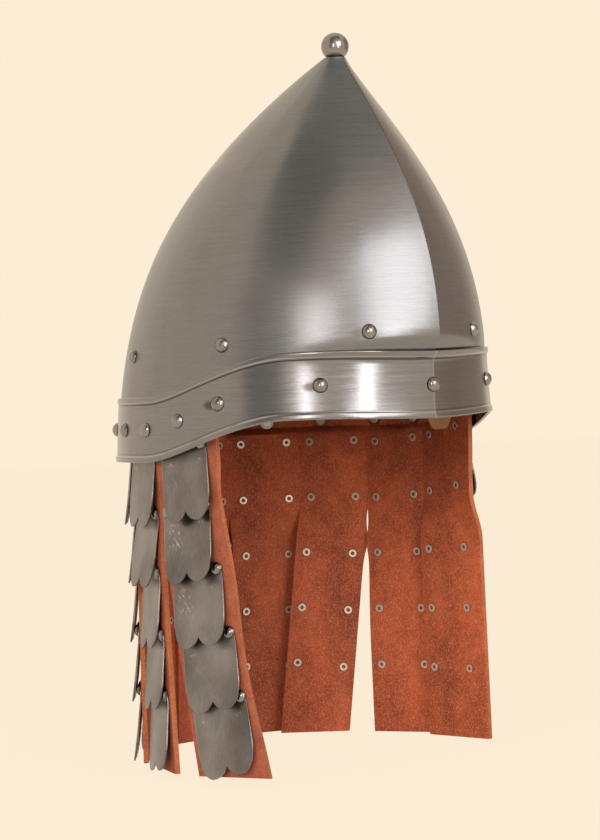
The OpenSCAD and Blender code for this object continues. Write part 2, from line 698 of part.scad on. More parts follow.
// Half outline of a scale, from the top round to the notch
corner_step = 18;
lobe_step = 15;
notch_steps = 6;
scale_half = concat(
    [for (a = [quarter : -corner_step : 0]) [scale_w / 2 - scale_corner_r * (1 - cos(a)),
                               scale_rise - scale_corner_r * (1 - sin(a))]],
    [for (a = [0 : lobe_step : quarter]) [lobe_out + (scale_w / 2 - lobe_out) * cos(a),
                              lobe_h - scale_drop - lobe_h * sin(a)]],
    [for (i = [1 : notch_steps])
        let (a = quarter + i * (acos(-lobe_out / lobe_r) - quarter) / notch_steps)
        [max(0, lobe_out + lobe_r * cos(a)), lobe_r - scale_drop - lobe_r * sin(a)]]);

// One scale, with the middle of its rivets at the origin on the leather's mid plane
module scale_plate(stand_angle, under_gap) {
    low = leather / 2 + under_gap;
    lean = (scale_drop - scale_flat + 1) * tan(stand_angle);
    outline = concat(scale_half, [for (i = [len(scale_half) - 2 : -1 : 0])
        [-scale_half[i].x, scale_half[i].y]]);
    difference() {
        intersection() {
            rotate([quarter, 0, quarter]) linear_extrude(2 * scale_w, center = true)
                polygon([[2 * scale_rise, low], [2 * scale_rise, low + scale_t],
                         [-scale_flat, low + scale_t], [-scale_drop - 1, low + scale_t + lean],
                         [-scale_drop - 1, low + lean], [-scale_flat, low]]);
            linear_extrude(4 * lean) polygon(outline);
        }
        for (x = [-1, 1] * rivet_pitch / 2) translate([x, 0, 0]) shank_hole(2 * leather, 0);
    }
}

// The two tubular rivets of one scale
module scale_rivets(under_gap) {
    head = leather / 2 + under_gap + scale_t + touch / 2;
    for (x = [-1, 1] * rivet_pitch / 2) translate([x, 0, head])
        rivet(scale_dome_d, scale_dome_h, head + leather / 2 + under_gap, roll_d, roll_t,
              hollow_d, hollow_depth);
}

module yoke_scales() {
    color(steel) for (k = [1 : straps]) on_yoke(k) scale_plate(stand(k, 1), gap(k, 1));
}

module yoke_scale_rivets() {
    color(bright_steel) for (k = [1 : straps]) on_yoke(k) scale_rivets(gap(k, 1));
}

module strap_scales(k) {
    color(steel) for (row = [2 : rows]) on_strap(k, row) scale_plate(stand(k, row), gap(k, row));
}

module strap_rivets(k) {
    color(bright_steel) for (row = [2 : rows]) on_strap(k, row) scale_rivets(gap(k, row));
}

skull_left();
skull_right();
brow_band();
finial();
finial_nut();
brow_rivets();
curtain_rivets();
rivet_washers();
liner_rivets();
liner_washers();
liner_band();
liner_tongues();
curtain_yoke();
yoke_scales();
yoke_scale_rivets();
strap(1);  // strap_1
strap(2);  // strap_2
strap(3);  // strap_3
strap(4);  // strap_4
strap(5);  // strap_5
strap(6);  // strap_6
strap(7);  // strap_7
strap(8);  // strap_8
strap(9);  // strap_9
strap_scales(1);  // strap_1_scales
strap_scales(2);  // strap_2_scales
strap_scales(3);  // strap_3_scales
strap_scales(4);  // strap_4_scales
strap_scales(5);  // strap_5_scales
strap_scales(6);  // strap_6_scales
strap_scales(7);  // strap_7_scales
strap_scales(8);  // strap_8_scales
strap_scales(9);  // strap_9_scales
strap_rivets(1);  // strap_1_rivets
strap_rivets(2);  // strap_2_rivets
strap_rivets(3);  // strap_3_rivets
strap_rivets(4);  // strap_4_rivets
strap_rivets(5);  // strap_5_rivets
strap_rivets(6);  // strap_6_rivets
strap_rivets(7);  // strap_7_rivets
strap_rivets(8);  // strap_8_rivets
strap_rivets(9);  // strap_9_rivets
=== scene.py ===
import math

import bpy
import numpy as np
from mathutils import Matrix, Vector


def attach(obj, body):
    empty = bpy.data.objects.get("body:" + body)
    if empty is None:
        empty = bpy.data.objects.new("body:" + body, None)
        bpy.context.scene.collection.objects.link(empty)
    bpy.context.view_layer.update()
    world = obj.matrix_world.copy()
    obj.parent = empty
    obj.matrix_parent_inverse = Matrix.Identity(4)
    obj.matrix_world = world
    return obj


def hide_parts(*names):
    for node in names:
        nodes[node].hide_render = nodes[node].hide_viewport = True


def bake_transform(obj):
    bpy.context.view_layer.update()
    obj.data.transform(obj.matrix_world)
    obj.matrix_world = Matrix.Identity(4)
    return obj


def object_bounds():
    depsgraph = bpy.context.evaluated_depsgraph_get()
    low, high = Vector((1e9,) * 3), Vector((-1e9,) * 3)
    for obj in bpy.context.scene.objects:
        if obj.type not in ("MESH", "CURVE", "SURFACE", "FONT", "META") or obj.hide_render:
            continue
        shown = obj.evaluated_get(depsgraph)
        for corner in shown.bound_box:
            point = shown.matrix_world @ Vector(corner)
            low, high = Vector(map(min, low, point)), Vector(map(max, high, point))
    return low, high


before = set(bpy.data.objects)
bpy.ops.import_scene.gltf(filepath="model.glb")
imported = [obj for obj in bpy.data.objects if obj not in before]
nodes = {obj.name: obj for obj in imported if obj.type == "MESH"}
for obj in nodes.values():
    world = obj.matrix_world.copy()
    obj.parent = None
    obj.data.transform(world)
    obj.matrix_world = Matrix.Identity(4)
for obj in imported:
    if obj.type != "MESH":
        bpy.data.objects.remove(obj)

cadLow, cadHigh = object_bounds()

# Sizes in millimetres and degrees, as in the part's source. Front is -Y, the wearer's left +X.
skull = dict(height=221.4, halfWidth=98.7, front=119.4, back=118.5, leanForward=41.1, flatRadius=6.55,
             domeStart=13.8, leanStart=33.8, leanEase=20.0, sheet=1.2, keelLow=0.09, keelHigh=0.41,
             browSet=7.2, browSetUnder=6.0, browSetOver=15.0, flare=0.055, edgeUp=10.0, columns=96, rows=84,
             rowEase=1.6, hubRadius=2.6, side=(2.8, 1.24), frontBulge=(2.23, 1.108), backBulge=(3.13, 0.815))
band = dict(height=36.3, sheet=1.2, archRise=20.6, browDip=1.9, dipTo=40.0, archFrom=46.0, archTo=98.0,
            beadHeight=3.9, beadOut=0.7, touch=0.1, columns=288)
curtain = dict(halfWidth=93.9, halfLength=106.2, spread=1.0, leather=2.8, strapWidth=42.7,
               margin=(4.7, 3), frontIn=0.7, length=142.5, slit=2.4, firstRow=5.1, pitch=33.9,
               straps=9, rows=5, fit=0.35, shift=(0, 0, 0, 0, 0, 0, -1, -2, -3),
               lean=(0, 0, 6.5, 1.8, 1.8, 1.8, 1.8, 6, 11), turn=(13, 13, 12, 15, 8, 4, 0, -4, 19),
               flatTurn=(0, 0, 0, 0, 0, 0, 0, 1, 6.5), turnStart=(4, 4, 4, 4, 4, 4, 4, 4, -20),
               turnLength=(26, 90, 26, 26, 26, 26, 26, 26, 120),
               slope=(0.5, 0.5, -2.6, 2.4, 0.5, 0.5, 0.5, 0.8, 1.7), rise=(4.6, 0, 0, 0, 0, 0, 0, 0, 3.4),
               roll=(-10, -4, 0, 0, 0, 0, 0, 0, 8), rollShadeShare=(1, 0.75, 0.3, 0.15, 0.05),
               leanShare=(0, 0.15, 0.55, 0.8, 1.1))
scale = dict(width=34.5, drop=41.0, rise=4.6, thickness=1.0, rivetSpan=28.1, lobeOut=8.8, lobeHeight=14.0,
             lobeRadius=9.6, cornerRadius=7.0, standoff=8.5, firstStandoff=10.5, flat=6.5, seat=0.15,
             dish=0.9, wear={(9, 1): 0.2, (9, 2): 0.9, (9, 3): 1.0, (9, 4): 0.15, (8, 2): 0.3, (8, 3): 0.2})


def smooth(x):
    c = np.clip(x, 0, 1)
    return c * c * (3 - 2 * c)


def ramp(x, ease):
    return np.where(x < -ease, 0, np.where(x < ease, (x + ease) ** 2 / (4 * ease), x))


def sinDeg(a):
    return np.sin(np.radians(a))


def cosDeg(a):
    return np.cos(np.radians(a))


def together(*values):  # as arrays of one shape
    return np.broadcast_arrays(*(np.asarray(v, float) for v in values))


def lengths(v):
    return np.linalg.norm(v, axis=-1)


def unit(v):
    return v / lengths(v)[..., None]


def share(z):  # how far up the dome a height lies
    return np.clip((z - skull["domeStart"]) / (skull["height"] - skull["domeStart"]), 0, 1)


def arch(t):  # the band's lower edge at angle t from the front
    a = np.abs(t)
    rise = band["archRise"] - band["browDip"] * (1 - smooth(a / band["dipTo"]))
    return rise * (1 - smooth((a - band["archFrom"]) / (band["archTo"] - band["archFrom"])))


browTop = float(arch(0.0)) + band["height"]


def closing(z, reach, shape):  # from the rim's reach to the flat on top
    r = skull["flatRadius"]
    bulge, fullness = shape
    return r + (reach - r) * np.power(1 - np.power(share(z), bulge), fullness)


def middle(z):
    return skull["leanForward"] * ramp(z - skull["leanStart"], skull["leanEase"]) / (
        skull["height"] - skull["leanStart"])


def section(z, t, out=0.0):  # the skull's outer surface at height z and angle t
    z, t = together(z, t)
    c, s = cosDeg(t), sinDeg(t)
    widen = skull["flare"] * ramp(skull["leanStart"] - z, skull["leanEase"]) + out
    sharp = skull["keelLow"] + (skull["keelHigh"] - skull["keelLow"]) * share(z)
    keel = np.where(c > 0, sharp, 0)
    reach = np.where(c > 0, closing(z, skull["front"], skull["frontBulge"]),
                     closing(z, skull["back"], skull["backBulge"])) + widen
    along = reach * (np.abs(c) * (1 - keel) + keel * (1 - np.abs(s)))
    setBack = skull["browSet"] * np.abs(c) ** 6 * (
        1 - smooth((z - browTop + skull["browSetUnder"]) / skull["browSetOver"]))
    y = np.where(c > 0, setBack - along, along) - middle(z)
    return np.stack([(closing(z, skull["halfWidth"], skull["side"]) + widen) * s, y, z], -1)


def facing(z, t, step=0.5):  # outward direction of that surface
    across = section(z, t + step) - section(z, t - step)
    high = np.minimum(z + step, skull["height"])
    return unit(np.cross(across, section(high, t) - section(high - step, t)))


def outward(z, t, step=1.0):  # the same in plan
    across = section(z, t + step) - section(z, t - step)
    return unit(np.stack([across[..., 1], -across[..., 0], np.zeros(across.shape[:-1])], -1))


def under(z, t, depth):
    return section(z, t) - depth * facing(z, t)


def beside(z, t, out):
    return section(z, t) + out * outward(z, t)


# The curtain's oval ring and its nine straps, numbered from the wearer's left round the back
long2, wide2 = curtain["halfLength"] ** 2, curtain["halfWidth"] ** 2
ringRadius = math.sqrt((long2 + wide2) / 2)
ringOval = (long2 - wide2) / (long2 + wide2) / 4
middleStrap = (curtain["straps"] + 1) // 2
secondRow = curtain["firstRow"] - curtain["pitch"]
yokeSlope = curtain["spread"] / curtain["pitch"]


def ringAngle(s):  # angle from the back at a length s along the ring
    a = np.asarray(s, float) / ringRadius
    base = a
    for step in range(5):
        a = base + ringOval * np.sin(2 * a)
    return np.degrees(a)


def turned(v, a):
    c, s = cosDeg(a), sinDeg(a)
    return np.stack([v[..., 0] * c - v[..., 1] * s, v[..., 0] * s + v[..., 1] * c], -1)


def own(key, k):  # a strap's own value
    return curtain[key][k - 1]


def strapAngle(k):
    return float(ringAngle((k - middleStrap) * curtain["strapWidth"] + own("shift", k)))


def strapAlong(k):
    a = strapAngle(k)
    v = unit(np.array([-curtain["halfWidth"] * cosDeg(a), -curtain["halfLength"] * sinDeg(a)]))
    return turned(v, own("flatTurn", k))


def strapOut(k):
    e = strapAlong(k)
    return np.array([e[1], -e[0]])


def strapMiddle(k):
    a = strapAngle(k)
    half = scale["rivetSpan"] / 2
    inset = half ** 2 / (2 * ringRadius) + half * sinDeg(own("flatTurn", k))
    onRing = np.array([-curtain["halfWidth"] * sinDeg(a), curtain["halfLength"] * cosDeg(a)])
    return onRing - inset * strapOut(k)


def flatPoint(k, along, z):  # on the mid plane of a strap's share of the uncut leather
    along, z = together(along, z)
    p = strapMiddle(k) + along[..., None] * strapAlong(k) + (
        yokeSlope * (z - secondRow))[..., None] * strapOut(k)
    return np.concatenate([p, z[..., None]], -1)


def turnAt(k, s):
    return (own("turn", k) - own("flatTurn", k)) * smooth((s - own("turnStart", k)) / own("turnLength", k))


def strapPoint(k, s, along=0.0):  # s runs down from the second row of rivets
    s, along = together(s, along)
    top = flatPoint(k, 0.0, secondRow + own("rise", k))
    e, n = strapAlong(k), strapOut(k)
    side = e * math.tan(math.radians(own("lean", k))) + n * math.tan(math.radians(own("slope", k)))
    e = turned(np.broadcast_to(e, s.shape + (2,)), turnAt(k, s))
    return top + s[..., None] * np.array([side[0], side[1], -1]) + along[..., None] * np.concatenate(
        [e, np.zeros(s.shape + (1,))], -1)


def rowDown(k, row):
    return (row - 2) * (curtain["pitch"] + own("rise", k) / 3)


def standAngle(k, row):  # how far a scale tilts off the leather, so that its end clears the next one
    base = scale["standoff"] if row > 1 else scale["firstStandoff"]
    if row == curtain["rows"]:
        return base
    more = turnAt(k, rowDown(k, row + 1)) - (turnAt(k, rowDown(k, row)) if row > 1 else 0)
    room = curtain["pitch"] - scale["flat"]
    return base + math.degrees(scale["rivetSpan"] / 2 * abs(sinDeg(more)) / room)


def underGap(k, row):  # between a scale's flat top and the turning leather
    if row == 1:
        return scale["seat"]
    more = turnAt(k, rowDown(k, row) + scale["flat"]) - turnAt(k, rowDown(k, row))
    return scale["seat"] + scale["width"] / 2 * abs(sinDeg(more))


def scaleFrame(k, row):  # middle of a scale's rivets on the leather's mid plane, and its axes
    if row == 1:
        e, n = strapAlong(k), strapOut(k)
        origin = flatPoint(k, 0.0, curtain["firstRow"] + own("rise", k))
        x = np.array([e[0], e[1], 0.0])
        y = unit(np.array([n[0] * yokeSlope, n[1] * yokeSlope, 1.0]))
    else:
        s = rowDown(k, row)
        origin = strapPoint(k, s)
        x = strapPoint(k, s, 1.0) - origin
        up = strapPoint(k, s - 1) - origin
        y = unit(up - (up @ x) * x)
    a = own("roll", k) * curtain["rollShadeShare"][row - 1] + own("lean", k) * curtain["leanShare"][row - 1]
    return origin, x * cosDeg(a) + y * sinDeg(a), y * cosDeg(a) - x * sinDeg(a), np.cross(x, y)


# Meshes
def linked(name, data):  # a new object in the scene
    piece = bpy.data.objects.new(name, data)
    bpy.context.scene.collection.objects.link(piece)
    return piece


def shaded(mesh, angle):  # smooth, with edges sharp above an angle
    mesh.polygons.foreach_set("use_smooth", [True] * len(mesh.polygons))
    mesh.set_sharp_from_angle(angle=math.radians(angle))


def finish(name, verts, faces, materials, angle=38, faceMaterial=None):
    mesh = bpy.data.meshes.new(name)
    mesh.from_pydata((np.asarray(verts, float) * 0.001).tolist(), [], faces)
    mesh.update()
    for m in materials:
        mesh.materials.append(m)
    if faceMaterial is not None:
        mesh.polygons.foreach_set("material_index", np.asarray(faceMaterial, np.int32))
    shaded(mesh, angle)
    return linked(name, mesh)


def pointValues(mesh, kind="FLOAT", field="value", **values):  # attributes on a mesh's points
    for key, value in values.items():
        a = mesh.attributes.new(key, kind, "POINT")
        a.data.foreach_set(field, np.asarray(value, np.float32).ravel())


def gridFaces(rows, cols, start=0, flip=False):
    faces = []
    for i in range(rows - 1):
        for j in range(cols - 1):
            a = start + i * cols + j
            quad = (a, a + 1, a + cols + 1, a + cols)
            faces.append(quad[::-1] if flip else quad)
    return faces


def plateFaces(rows, cols, start=0):  # an outer grid, an inner grid after it, and the walls round their edge
    n = rows * cols
    ids = start + np.arange(n).reshape(rows, cols)
    rim = np.concatenate([ids[0], ids[1:, -1], ids[-1, -2::-1], ids[-2:0:-1, 0]]).tolist()
    walls = [(b, a, a + n, b + n) for a, b in zip(rim, rim[1:] + rim[:1])]
    return gridFaces(rows, cols, start) + gridFaces(rows, cols, start + n, flip=True) + walls


def ringPiece(name, grid, materials, angle):  # rows go round a section, columns round the ring
    rows, cols = grid.shape[:2]
    faces = []
    for i in range(rows):
        for j in range(cols):
            a, b, n = i * cols, ((i + 1) % rows) * cols, (j + 1) % cols
            faces.append((b + j, b + n, a + n, a + j))
    return finish(name, grid.reshape(-1, 3), faces, materials, angle)


def sheetPiece(name, outer, inner, materials, angle=38):  # rows up, columns to the right from outside
    rows, cols = outer.shape[:2]
    faces = plateFaces(rows, cols)
    side, last = (rows - 1) * (cols - 1), len(materials) - 1
    slots = [0] * side + [len(materials) // 2] * side + [last] * (len(faces) - 2 * side)
    return finish(name, np.concatenate([outer.reshape(-1, 3), inner.reshape(-1, 3)]), faces, materials,
                  angle, slots)


# Node maths: one class wraps a socket and lets expressions add Math nodes
class Wire:
    def __init__(self, tree, socket):
        self.tree, self.socket = tree, socket

    def math(self, operation, other=None, clamp=False, swap=False):
        pair = [self] if other is None else ([other, self] if swap else [self, other])
        return self.tree.add("ShaderNodeMath", dict(operation=operation, use_clamp=clamp),
                             {i: v for i, v in enumerate(pair)})

    def __add__(self, o): return self.math("ADD", o)
    def __radd__(self, o): return self.math("ADD", o)
    def __sub__(self, o): return self.math("SUBTRACT", o)
    def __rsub__(self, o): return self.math("SUBTRACT", o, swap=True)
    def __mul__(self, o): return self.math("MULTIPLY", o)
    def __rmul__(self, o): return self.math("MULTIPLY", o)
    def clamp(self): return self.math("ADD", 0.0, clamp=True)
    def most(self, o): return self.math("MAXIMUM", o)
    def size(self): return self.math("ABSOLUTE")

    def band(self, low, high):  # 0 below low, 1 above high
        return self.tree.add("ShaderNodeMapRange", dict(interpolation_type="SMOOTHSTEP"),
                             {"Value": self, "From Min": low, "From Max": high})


class Tree:
    def __init__(self, tree):
        self.tree = tree

    def node(self, kind, settings=None, inputs=None):
        n = self.tree.nodes.new(kind)
        for key, value in (settings or {}).items():
            setattr(n, key, value)
        for key, value in (inputs or {}).items():
            if isinstance(value, Wire):
                self.tree.links.new(value.socket, n.inputs[key])
            else:
                n.inputs[key].default_value = value
        return n

    def add(self, kind, settings=None, inputs=None, out=0):
        return Wire(self, self.node(kind, settings, inputs).outputs[out])


def material(name):
    m = bpy.data.materials.new(name)
    m.use_nodes = True
    m.node_tree.nodes.clear()
    return m, Tree(m.node_tree)


def objectCoords(tree):
    return tree.add("ShaderNodeTexCoord", out=3)


def place(tree, size=(1, 1, 1)):
    return tree.add("ShaderNodeMapping", None, {"Vector": objectCoords(tree), "Scale": size})


def axes(tree):  # the place along X, Y and Z
    at = tree.node("ShaderNodeSeparateXYZ", None, {0: objectCoords(tree)})
    return [Wire(tree, socket) for socket in at.outputs]


def attribute(tree, name):
    return tree.add("ShaderNodeAttribute", dict(attribute_name=name), None, 2)


def noise(tree, vector, size, detail=2.0, rough=0.5):
    return tree.add("ShaderNodeTexNoise", None,
                    {"Vector": vector, "Scale": size, "Detail": detail, "Roughness": rough})


def mixColour(tree, mask, a, b):
    return tree.add("ShaderNodeMix", dict(data_type="RGBA"), {0: mask, 6: a, 7: b}, 2)


def show(tree, shader, kind="ShaderNodeOutputMaterial"):
    tree.node(kind, None, {"Surface": shader})


def finishMaterial(tree, colour, roughness, height=None, strength=0, distance=0, metallic=0.0, **fixed):
    inputs = {"Base Color": colour, "Roughness": roughness, "Metallic": metallic}
    if height is not None:
        inputs["Normal"] = tree.add("ShaderNodeBump", None,
                                    {"Strength": strength, "Distance": distance, "Height": height})
    inputs.update(fixed)
    show(tree, tree.add("ShaderNodeBsdfPrincipled", None, inputs))


def rgb(r, g, b):  # from 0 to 255 as seen on a screen
    return tuple(((v / 255 + 0.055) / 1.055) ** 2.4 if v > 10 else v / 3294.6 for v in (r, g, b)) + (1,)


steelMarksAndPaintedLight = dict(  # metres, but millimetres up the band for its beads
    weld=dict(half=(0.0002, 0.0006), front=(-0.03, -0.02), up=(0.1, 0.16), broken=(0.3, 0.6), share=0.5,
              colour=rgb(60, 54, 48)),
    # painted shade in the grooves and painted highlights on the crests of the band's raised lines
    beadShadeAndHighlight=((31.6, 32.5, 0.75, rgb(52, 46, 42)), (4.1, 4.7, 0.5, rgb(70, 64, 60)),
           (2.9, 3.6, 0.4, rgb(196, 193, 188)), (33.0, 33.6, 0.35, rgb(196, 193, 188))),
    beadBlur=0.15,
    # a painted highlight along the band's front crease
    creaseHighlight=dict(half=(0.0003, 0.0008), front=(-0.05, -0.04), share=0.22, colour=rgb(206, 202, 196)),
    # a painted dark reflection of a rivet's dome beside it
    domeReflection=dict(size=(0.0062, 0.02, 0.0034), fade=(0.35, 1.0), broken=(0.25, 0.5), share=0.75,
             colour=rgb(58, 50, 46)))


def brushedSteel(name, dark, pale, grain, rough, brown, anisotropy=0.5, weld=False, wave=0.0, bump=0.05,
                 beadShadeAndHighlight=False, domeReflections=()):
    m, tree = material(name)
    lines = noise(tree, place(tree, (30, 30, grain)), 1.0, 3.0, 0.6)
    fine = noise(tree, place(tree, (160, 160, grain * 2.6)), 1.0, 2.0, 0.5)
    cloud = noise(tree, place(tree, (18, 18, 8)), 1.0, 3.0, 0.5)
    colour = mixColour(tree, (lines * 0.5 + fine * 0.5).band(0.3, 0.7), dark, pale)
    colour = mixColour(tree, cloud.band(0.45, 0.75) * brown, colour, rgb(112, 94, 80))
    if weld:  # a thin dark line along the upper keel
        s = steelMarksAndPaintedLight["weld"]
        x, y, z = axes(tree)
        line = (1 - x.size().band(*s["half"])) * (1 - y.band(*s["front"])) * z.band(*s["up"])
        colour = mixColour(tree, line * s["share"] * cloud.band(*s["broken"]), colour, s["colour"])
    if beadShadeAndHighlight:  # painted shade in the groove beside each raised line, painted highlight on its crest and along the front crease
        up, blur = attribute(tree, "upBand"), steelMarksAndPaintedLight["beadBlur"]
        for low, high, much, shade in steelMarksAndPaintedLight["beadShadeAndHighlight"]:
            line = up.band(low - blur, low + blur) * (1 - up.band(high - blur, high + blur))
            colour = mixColour(tree, line * much, colour, shade)
        s = steelMarksAndPaintedLight["creaseHighlight"]
        x, y, z = axes(tree)
        creaseHighlight = (1 - x.size().band(*s["half"])) * (1 - y.band(*s["front"]))
        colour = mixColour(tree, creaseHighlight * s["share"], colour, s["colour"])
    s = steelMarksAndPaintedLight["domeReflection"]
    for x, y, z, turn in domeReflections:  # painted dark reflections of the rivet domes, a smudge beside each rivet drawn out away from the keel
        off = tree.add("ShaderNodeMapping", dict(vector_type="TEXTURE"),
                       {"Vector": objectCoords(tree), "Location": (x / 1000, y / 1000, z / 1000),
                        "Rotation": (0, 0, math.radians(turn)), "Scale": s["size"]})
        far = tree.add("ShaderNodeVectorMath", dict(operation="LENGTH"), {0: off}, 1)
        reflectionMask = (1 - far.band(*s["fade"])) * cloud.band(*s["broken"]) * s["share"]
        colour = mixColour(tree, reflectionMask, colour, s["colour"])
    height = lines * 0.6 + fine * 0.4
    if wave:  # soft unevenness left by planishing
        height = height + noise(tree, place(tree, (42, 42, 12)), 1.0, 1.0, 0.4) * wave
    finishMaterial(tree, colour, (cloud * 0.14 + lines * 0.08 + (rough - 0.11)).clamp(), height,
                   strength=bump, distance=0.0004, metallic=1.0, Anisotropic=anisotropy)
    return m


def leather(name, dark, mid, pale, fuzz=0.5, streaks=0.5):
    m, tree = material(name)
    patch = noise(tree, place(tree, (26, 26, 9)), 1.0, 4.0, 0.6)
    mottle = noise(tree, place(tree), 95.0, 4.0, 0.62)
    nap = noise(tree, place(tree, (1, 1, 0.8)), 1250.0, 3.0, 0.65)
    grainy = noise(tree, place(tree), 620.0, 4.0, 0.75)
    patchy = patch.band(0.32, 0.68) * streaks + mottle.band(0.3, 0.7) * (1 - streaks)
    colour = mixColour(tree, patchy, dark, mid)
    colour = mixColour(tree, (nap.band(0.42, 0.78) * fuzz).clamp(), colour, pale)
    colour = mixColour(tree, grainy.band(0.46, 0.8) * 0.65, colour, dark)
    finishMaterial(tree, colour, (grainy * 0.2 + 0.72).clamp(), nap * 0.5 + grainy * 0.5,
                   strength=0.4, distance=0.0005)
    return m


# The rim, roll and hollow entries give painted shade on tubular rivets: round the dome's rim, at the rolled
# end's edge and in the bore.
rivetLook = dict(turned=(-0.5, -0.3), cloud=rgb(104, 98, 94), rim=(0.68, 0.98), rimShadeShare=0.75,
                 rimShadeColour=rgb(58, 52, 48), rollEdge=(0.84, 1.0), rollShadeShare=0.55, rollShadeColour=rgb(96, 66, 52),
                 hollowShadeShare=0.9, hollowShadeColour=rgb(34, 24, 20))


def rivetMetal(name, dome, tail):  # bright domes outside, paler spread or rolled ends inside
    s = rivetLook
    m, tree = material(name)
    at = tree.node("ShaderNodeTexCoord")
    flat = tree.add("ShaderNodeVectorMath", dict(operation="MULTIPLY"),
                    {0: Wire(tree, at.outputs["Object"]), 1: (1, 1, 0)})
    out = tree.add("ShaderNodeVectorMath", dict(operation="NORMALIZE"), {0: flat})
    turn = tree.add("ShaderNodeVectorMath", dict(operation="DOT_PRODUCT"),
                    {0: out, 1: Wire(tree, at.outputs["Normal"])}, 1)
    inside = 1 - turn.band(*s["turned"])
    cloud = noise(tree, place(tree), 260.0, 2.0, 0.5)
    rim, hollow = attribute(tree, "rim"), attribute(tree, "hollow")
    colour = mixColour(tree, cloud.band(0.4, 0.7) * 0.5, dome, s["cloud"])
    # painted shade and dark reflection round the rim of each dome
    colour = mixColour(tree, rim.band(*s["rim"]) * s["rimShadeShare"], colour, s["rimShadeColour"])
    # painted shade at the outer edge of each rolled end
    tail = mixColour(tree, rim.band(*s["rollEdge"]) * s["rollShadeShare"], tail, s["rollShadeColour"])
    colour = mixColour(tree, inside, colour, tail)
    # painted shade in the hollow bore of each tubular rivet
    colour = mixColour(tree, hollow * s["hollowShadeShare"], colour, s["hollowShadeColour"])
    finishMaterial(tree, colour, inside * 0.22 + cloud * 0.1 + 0.09,
                   metallic=(1 - inside * 0.45) * (1 - hollow))
    return m


# The first four entries give painted shade and a painted highlight at a scale's side edges; the rest place
# scratches and pale wear.
scaleLook = dict(edgeShade=(0.5, 1.05), edgeShadeShare=0.3, edgeHighlight=(0.96, 0.985), edgeHighlightShare=0.25,
                 spotAt=(-0.0085, 0.0095), spotSize=(150.0, 95.0), spotFade=(0.45, 1.0),
                 scratches=((900.0, 330.0, 0.0), (700.0, -620.0, 3.1)), scratchThin=(0.6, 0.68),
                 scratchShare=0.7, tickBeside=(0.0085, 0.0095, 0.012, 0.013),
                 tickBelow=(0.0008, 0.0018, 0.003, 0.0042), tickShare=0.45)


def scaleMetal(name, dark, pale, paleWearAndHighlight):
    s = scaleLook
    m, tree = material(name)
    below, beside, wear = (attribute(tree, key) for key in ("below", "beside", "wear"))
    lines = noise(tree, place(tree, (1300, 1300, 26)), 1.0, 3.0, 0.6)
    cloud = noise(tree, place(tree, (30, 30, 20)), 1.0, 3.0, 0.5)
    edge = beside.size() * (2000 / scale["width"])
    colour = mixColour(tree, (cloud * 0.8 + lines * 0.2).band(0.3, 0.7), dark, pale)
    # painted shade, darker towards the side edges where the scale curves away
    colour = mixColour(tree, edge.band(*s["edgeShade"]) * s["edgeShadeShare"], colour, dark)
    # painted highlight along the very side edges
    colour = mixColour(tree, edge.band(*s["edgeHighlight"]) * s["edgeHighlightShare"], colour, paleWearAndHighlight)
    warp = noise(tree, place(tree), 420.0, 2.0, 0.5)
    (spotBeside, spotBelow), (narrow, short) = s["spotAt"], s["spotSize"]
    spot = ((beside - spotBeside) * narrow).size().most(((below - spotBelow) * short).size())
    inSpot = 1 - spot.band(*s["spotFade"])
    for across, along, start in s["scratches"]:  # thin pale scratches on two slants
        v = tree.add("ShaderNodeCombineXYZ", None,
                     {0: beside * across + below * along + warp * 1.6 + start, 1: below * 260.0 + start})
        line = noise(tree, v, 1.0, 2.0, 0.5).band(*s["scratchThin"])
        colour = mixColour(tree, line * inSpot * wear * s["scratchShare"], colour, paleWearAndHighlight)
    tick = 1.0  # small pale rubs at both sides of a scale's flat top
    for part, (low, full, high, gone) in ((beside.size(), s["tickBeside"]), (below, s["tickBelow"])):
        tick = part.band(low, full) * (1 - part.band(high, gone)) * tick
    spots = noise(tree, place(tree), 900.0, 2.0, 0.6).band(0.5, 0.62)
    colour = mixColour(tree, tick * spots * s["tickShare"], colour, paleWearAndHighlight)
    finishMaterial(tree, colour, (cloud * 0.16 + lines * 0.08 + 0.22).clamp(), lines * 0.4 + cloud * 9.0,
                   strength=0.05, distance=0.0004, metallic=1.0, Anisotropic=0.3)
    return m


# The last arguments of the skull and band steels place painted dark reflections of rivet domes beside rivets.
skullSteel = brushedSteel("skullSteel", rgb(128, 128, 131), rgb(139, 139, 142), grain=1500, rough=0.27,
                          brown=0.18, weld=True, wave=30.0, bump=0.03, domeReflections=((-40.1, -101.8, 66.0, -25),))
bandSteel = brushedSteel("bandSteel", rgb(128, 127, 130), rgb(144, 143, 146), grain=1800, rough=0.195,
                         brown=0.2, wave=8.0, bump=0.04, beadShadeAndHighlight=True,
                         domeReflections=((-62.7, -86.9, 38.2, -33.5), (-93.8, -38.0, 30.5, -69)))
# The last colour is used for pale wear marks and painted edge highlights.
scaleSteel = scaleMetal("scaleSteel", rgb(104, 100, 101), rgb(154, 149, 150), rgb(206, 203, 199))
rivetSteel = rivetMetal("rivetSteel", rgb(150, 147, 144), rgb(212, 202, 188))
washerSteel = brushedSteel("washerSteel", rgb(142, 136, 130), rgb(160, 154, 148), grain=700, rough=0.3,
                           brown=0.3, anisotropy=0.0)
darkSteel = brushedSteel("darkSteel", rgb(138, 134, 133), rgb(154, 150, 149), grain=700, rough=0.16,
                         brown=0.2, anisotropy=0.0)
outerLeather = leather("outerLeather", rgb(124, 60, 40), rgb(158, 86, 60), rgb(192, 122, 92),
                       fuzz=0.45, streaks=0.3)
curtainLeather = leather("curtainLeather", rgb(116, 46, 26), rgb(188, 90, 54), rgb(230, 152, 110),
                         fuzz=0.6, streaks=0.6)
cutLeather = leather("cutLeather", rgb(142, 72, 44), rgb(182, 104, 68), rgb(216, 152, 112))
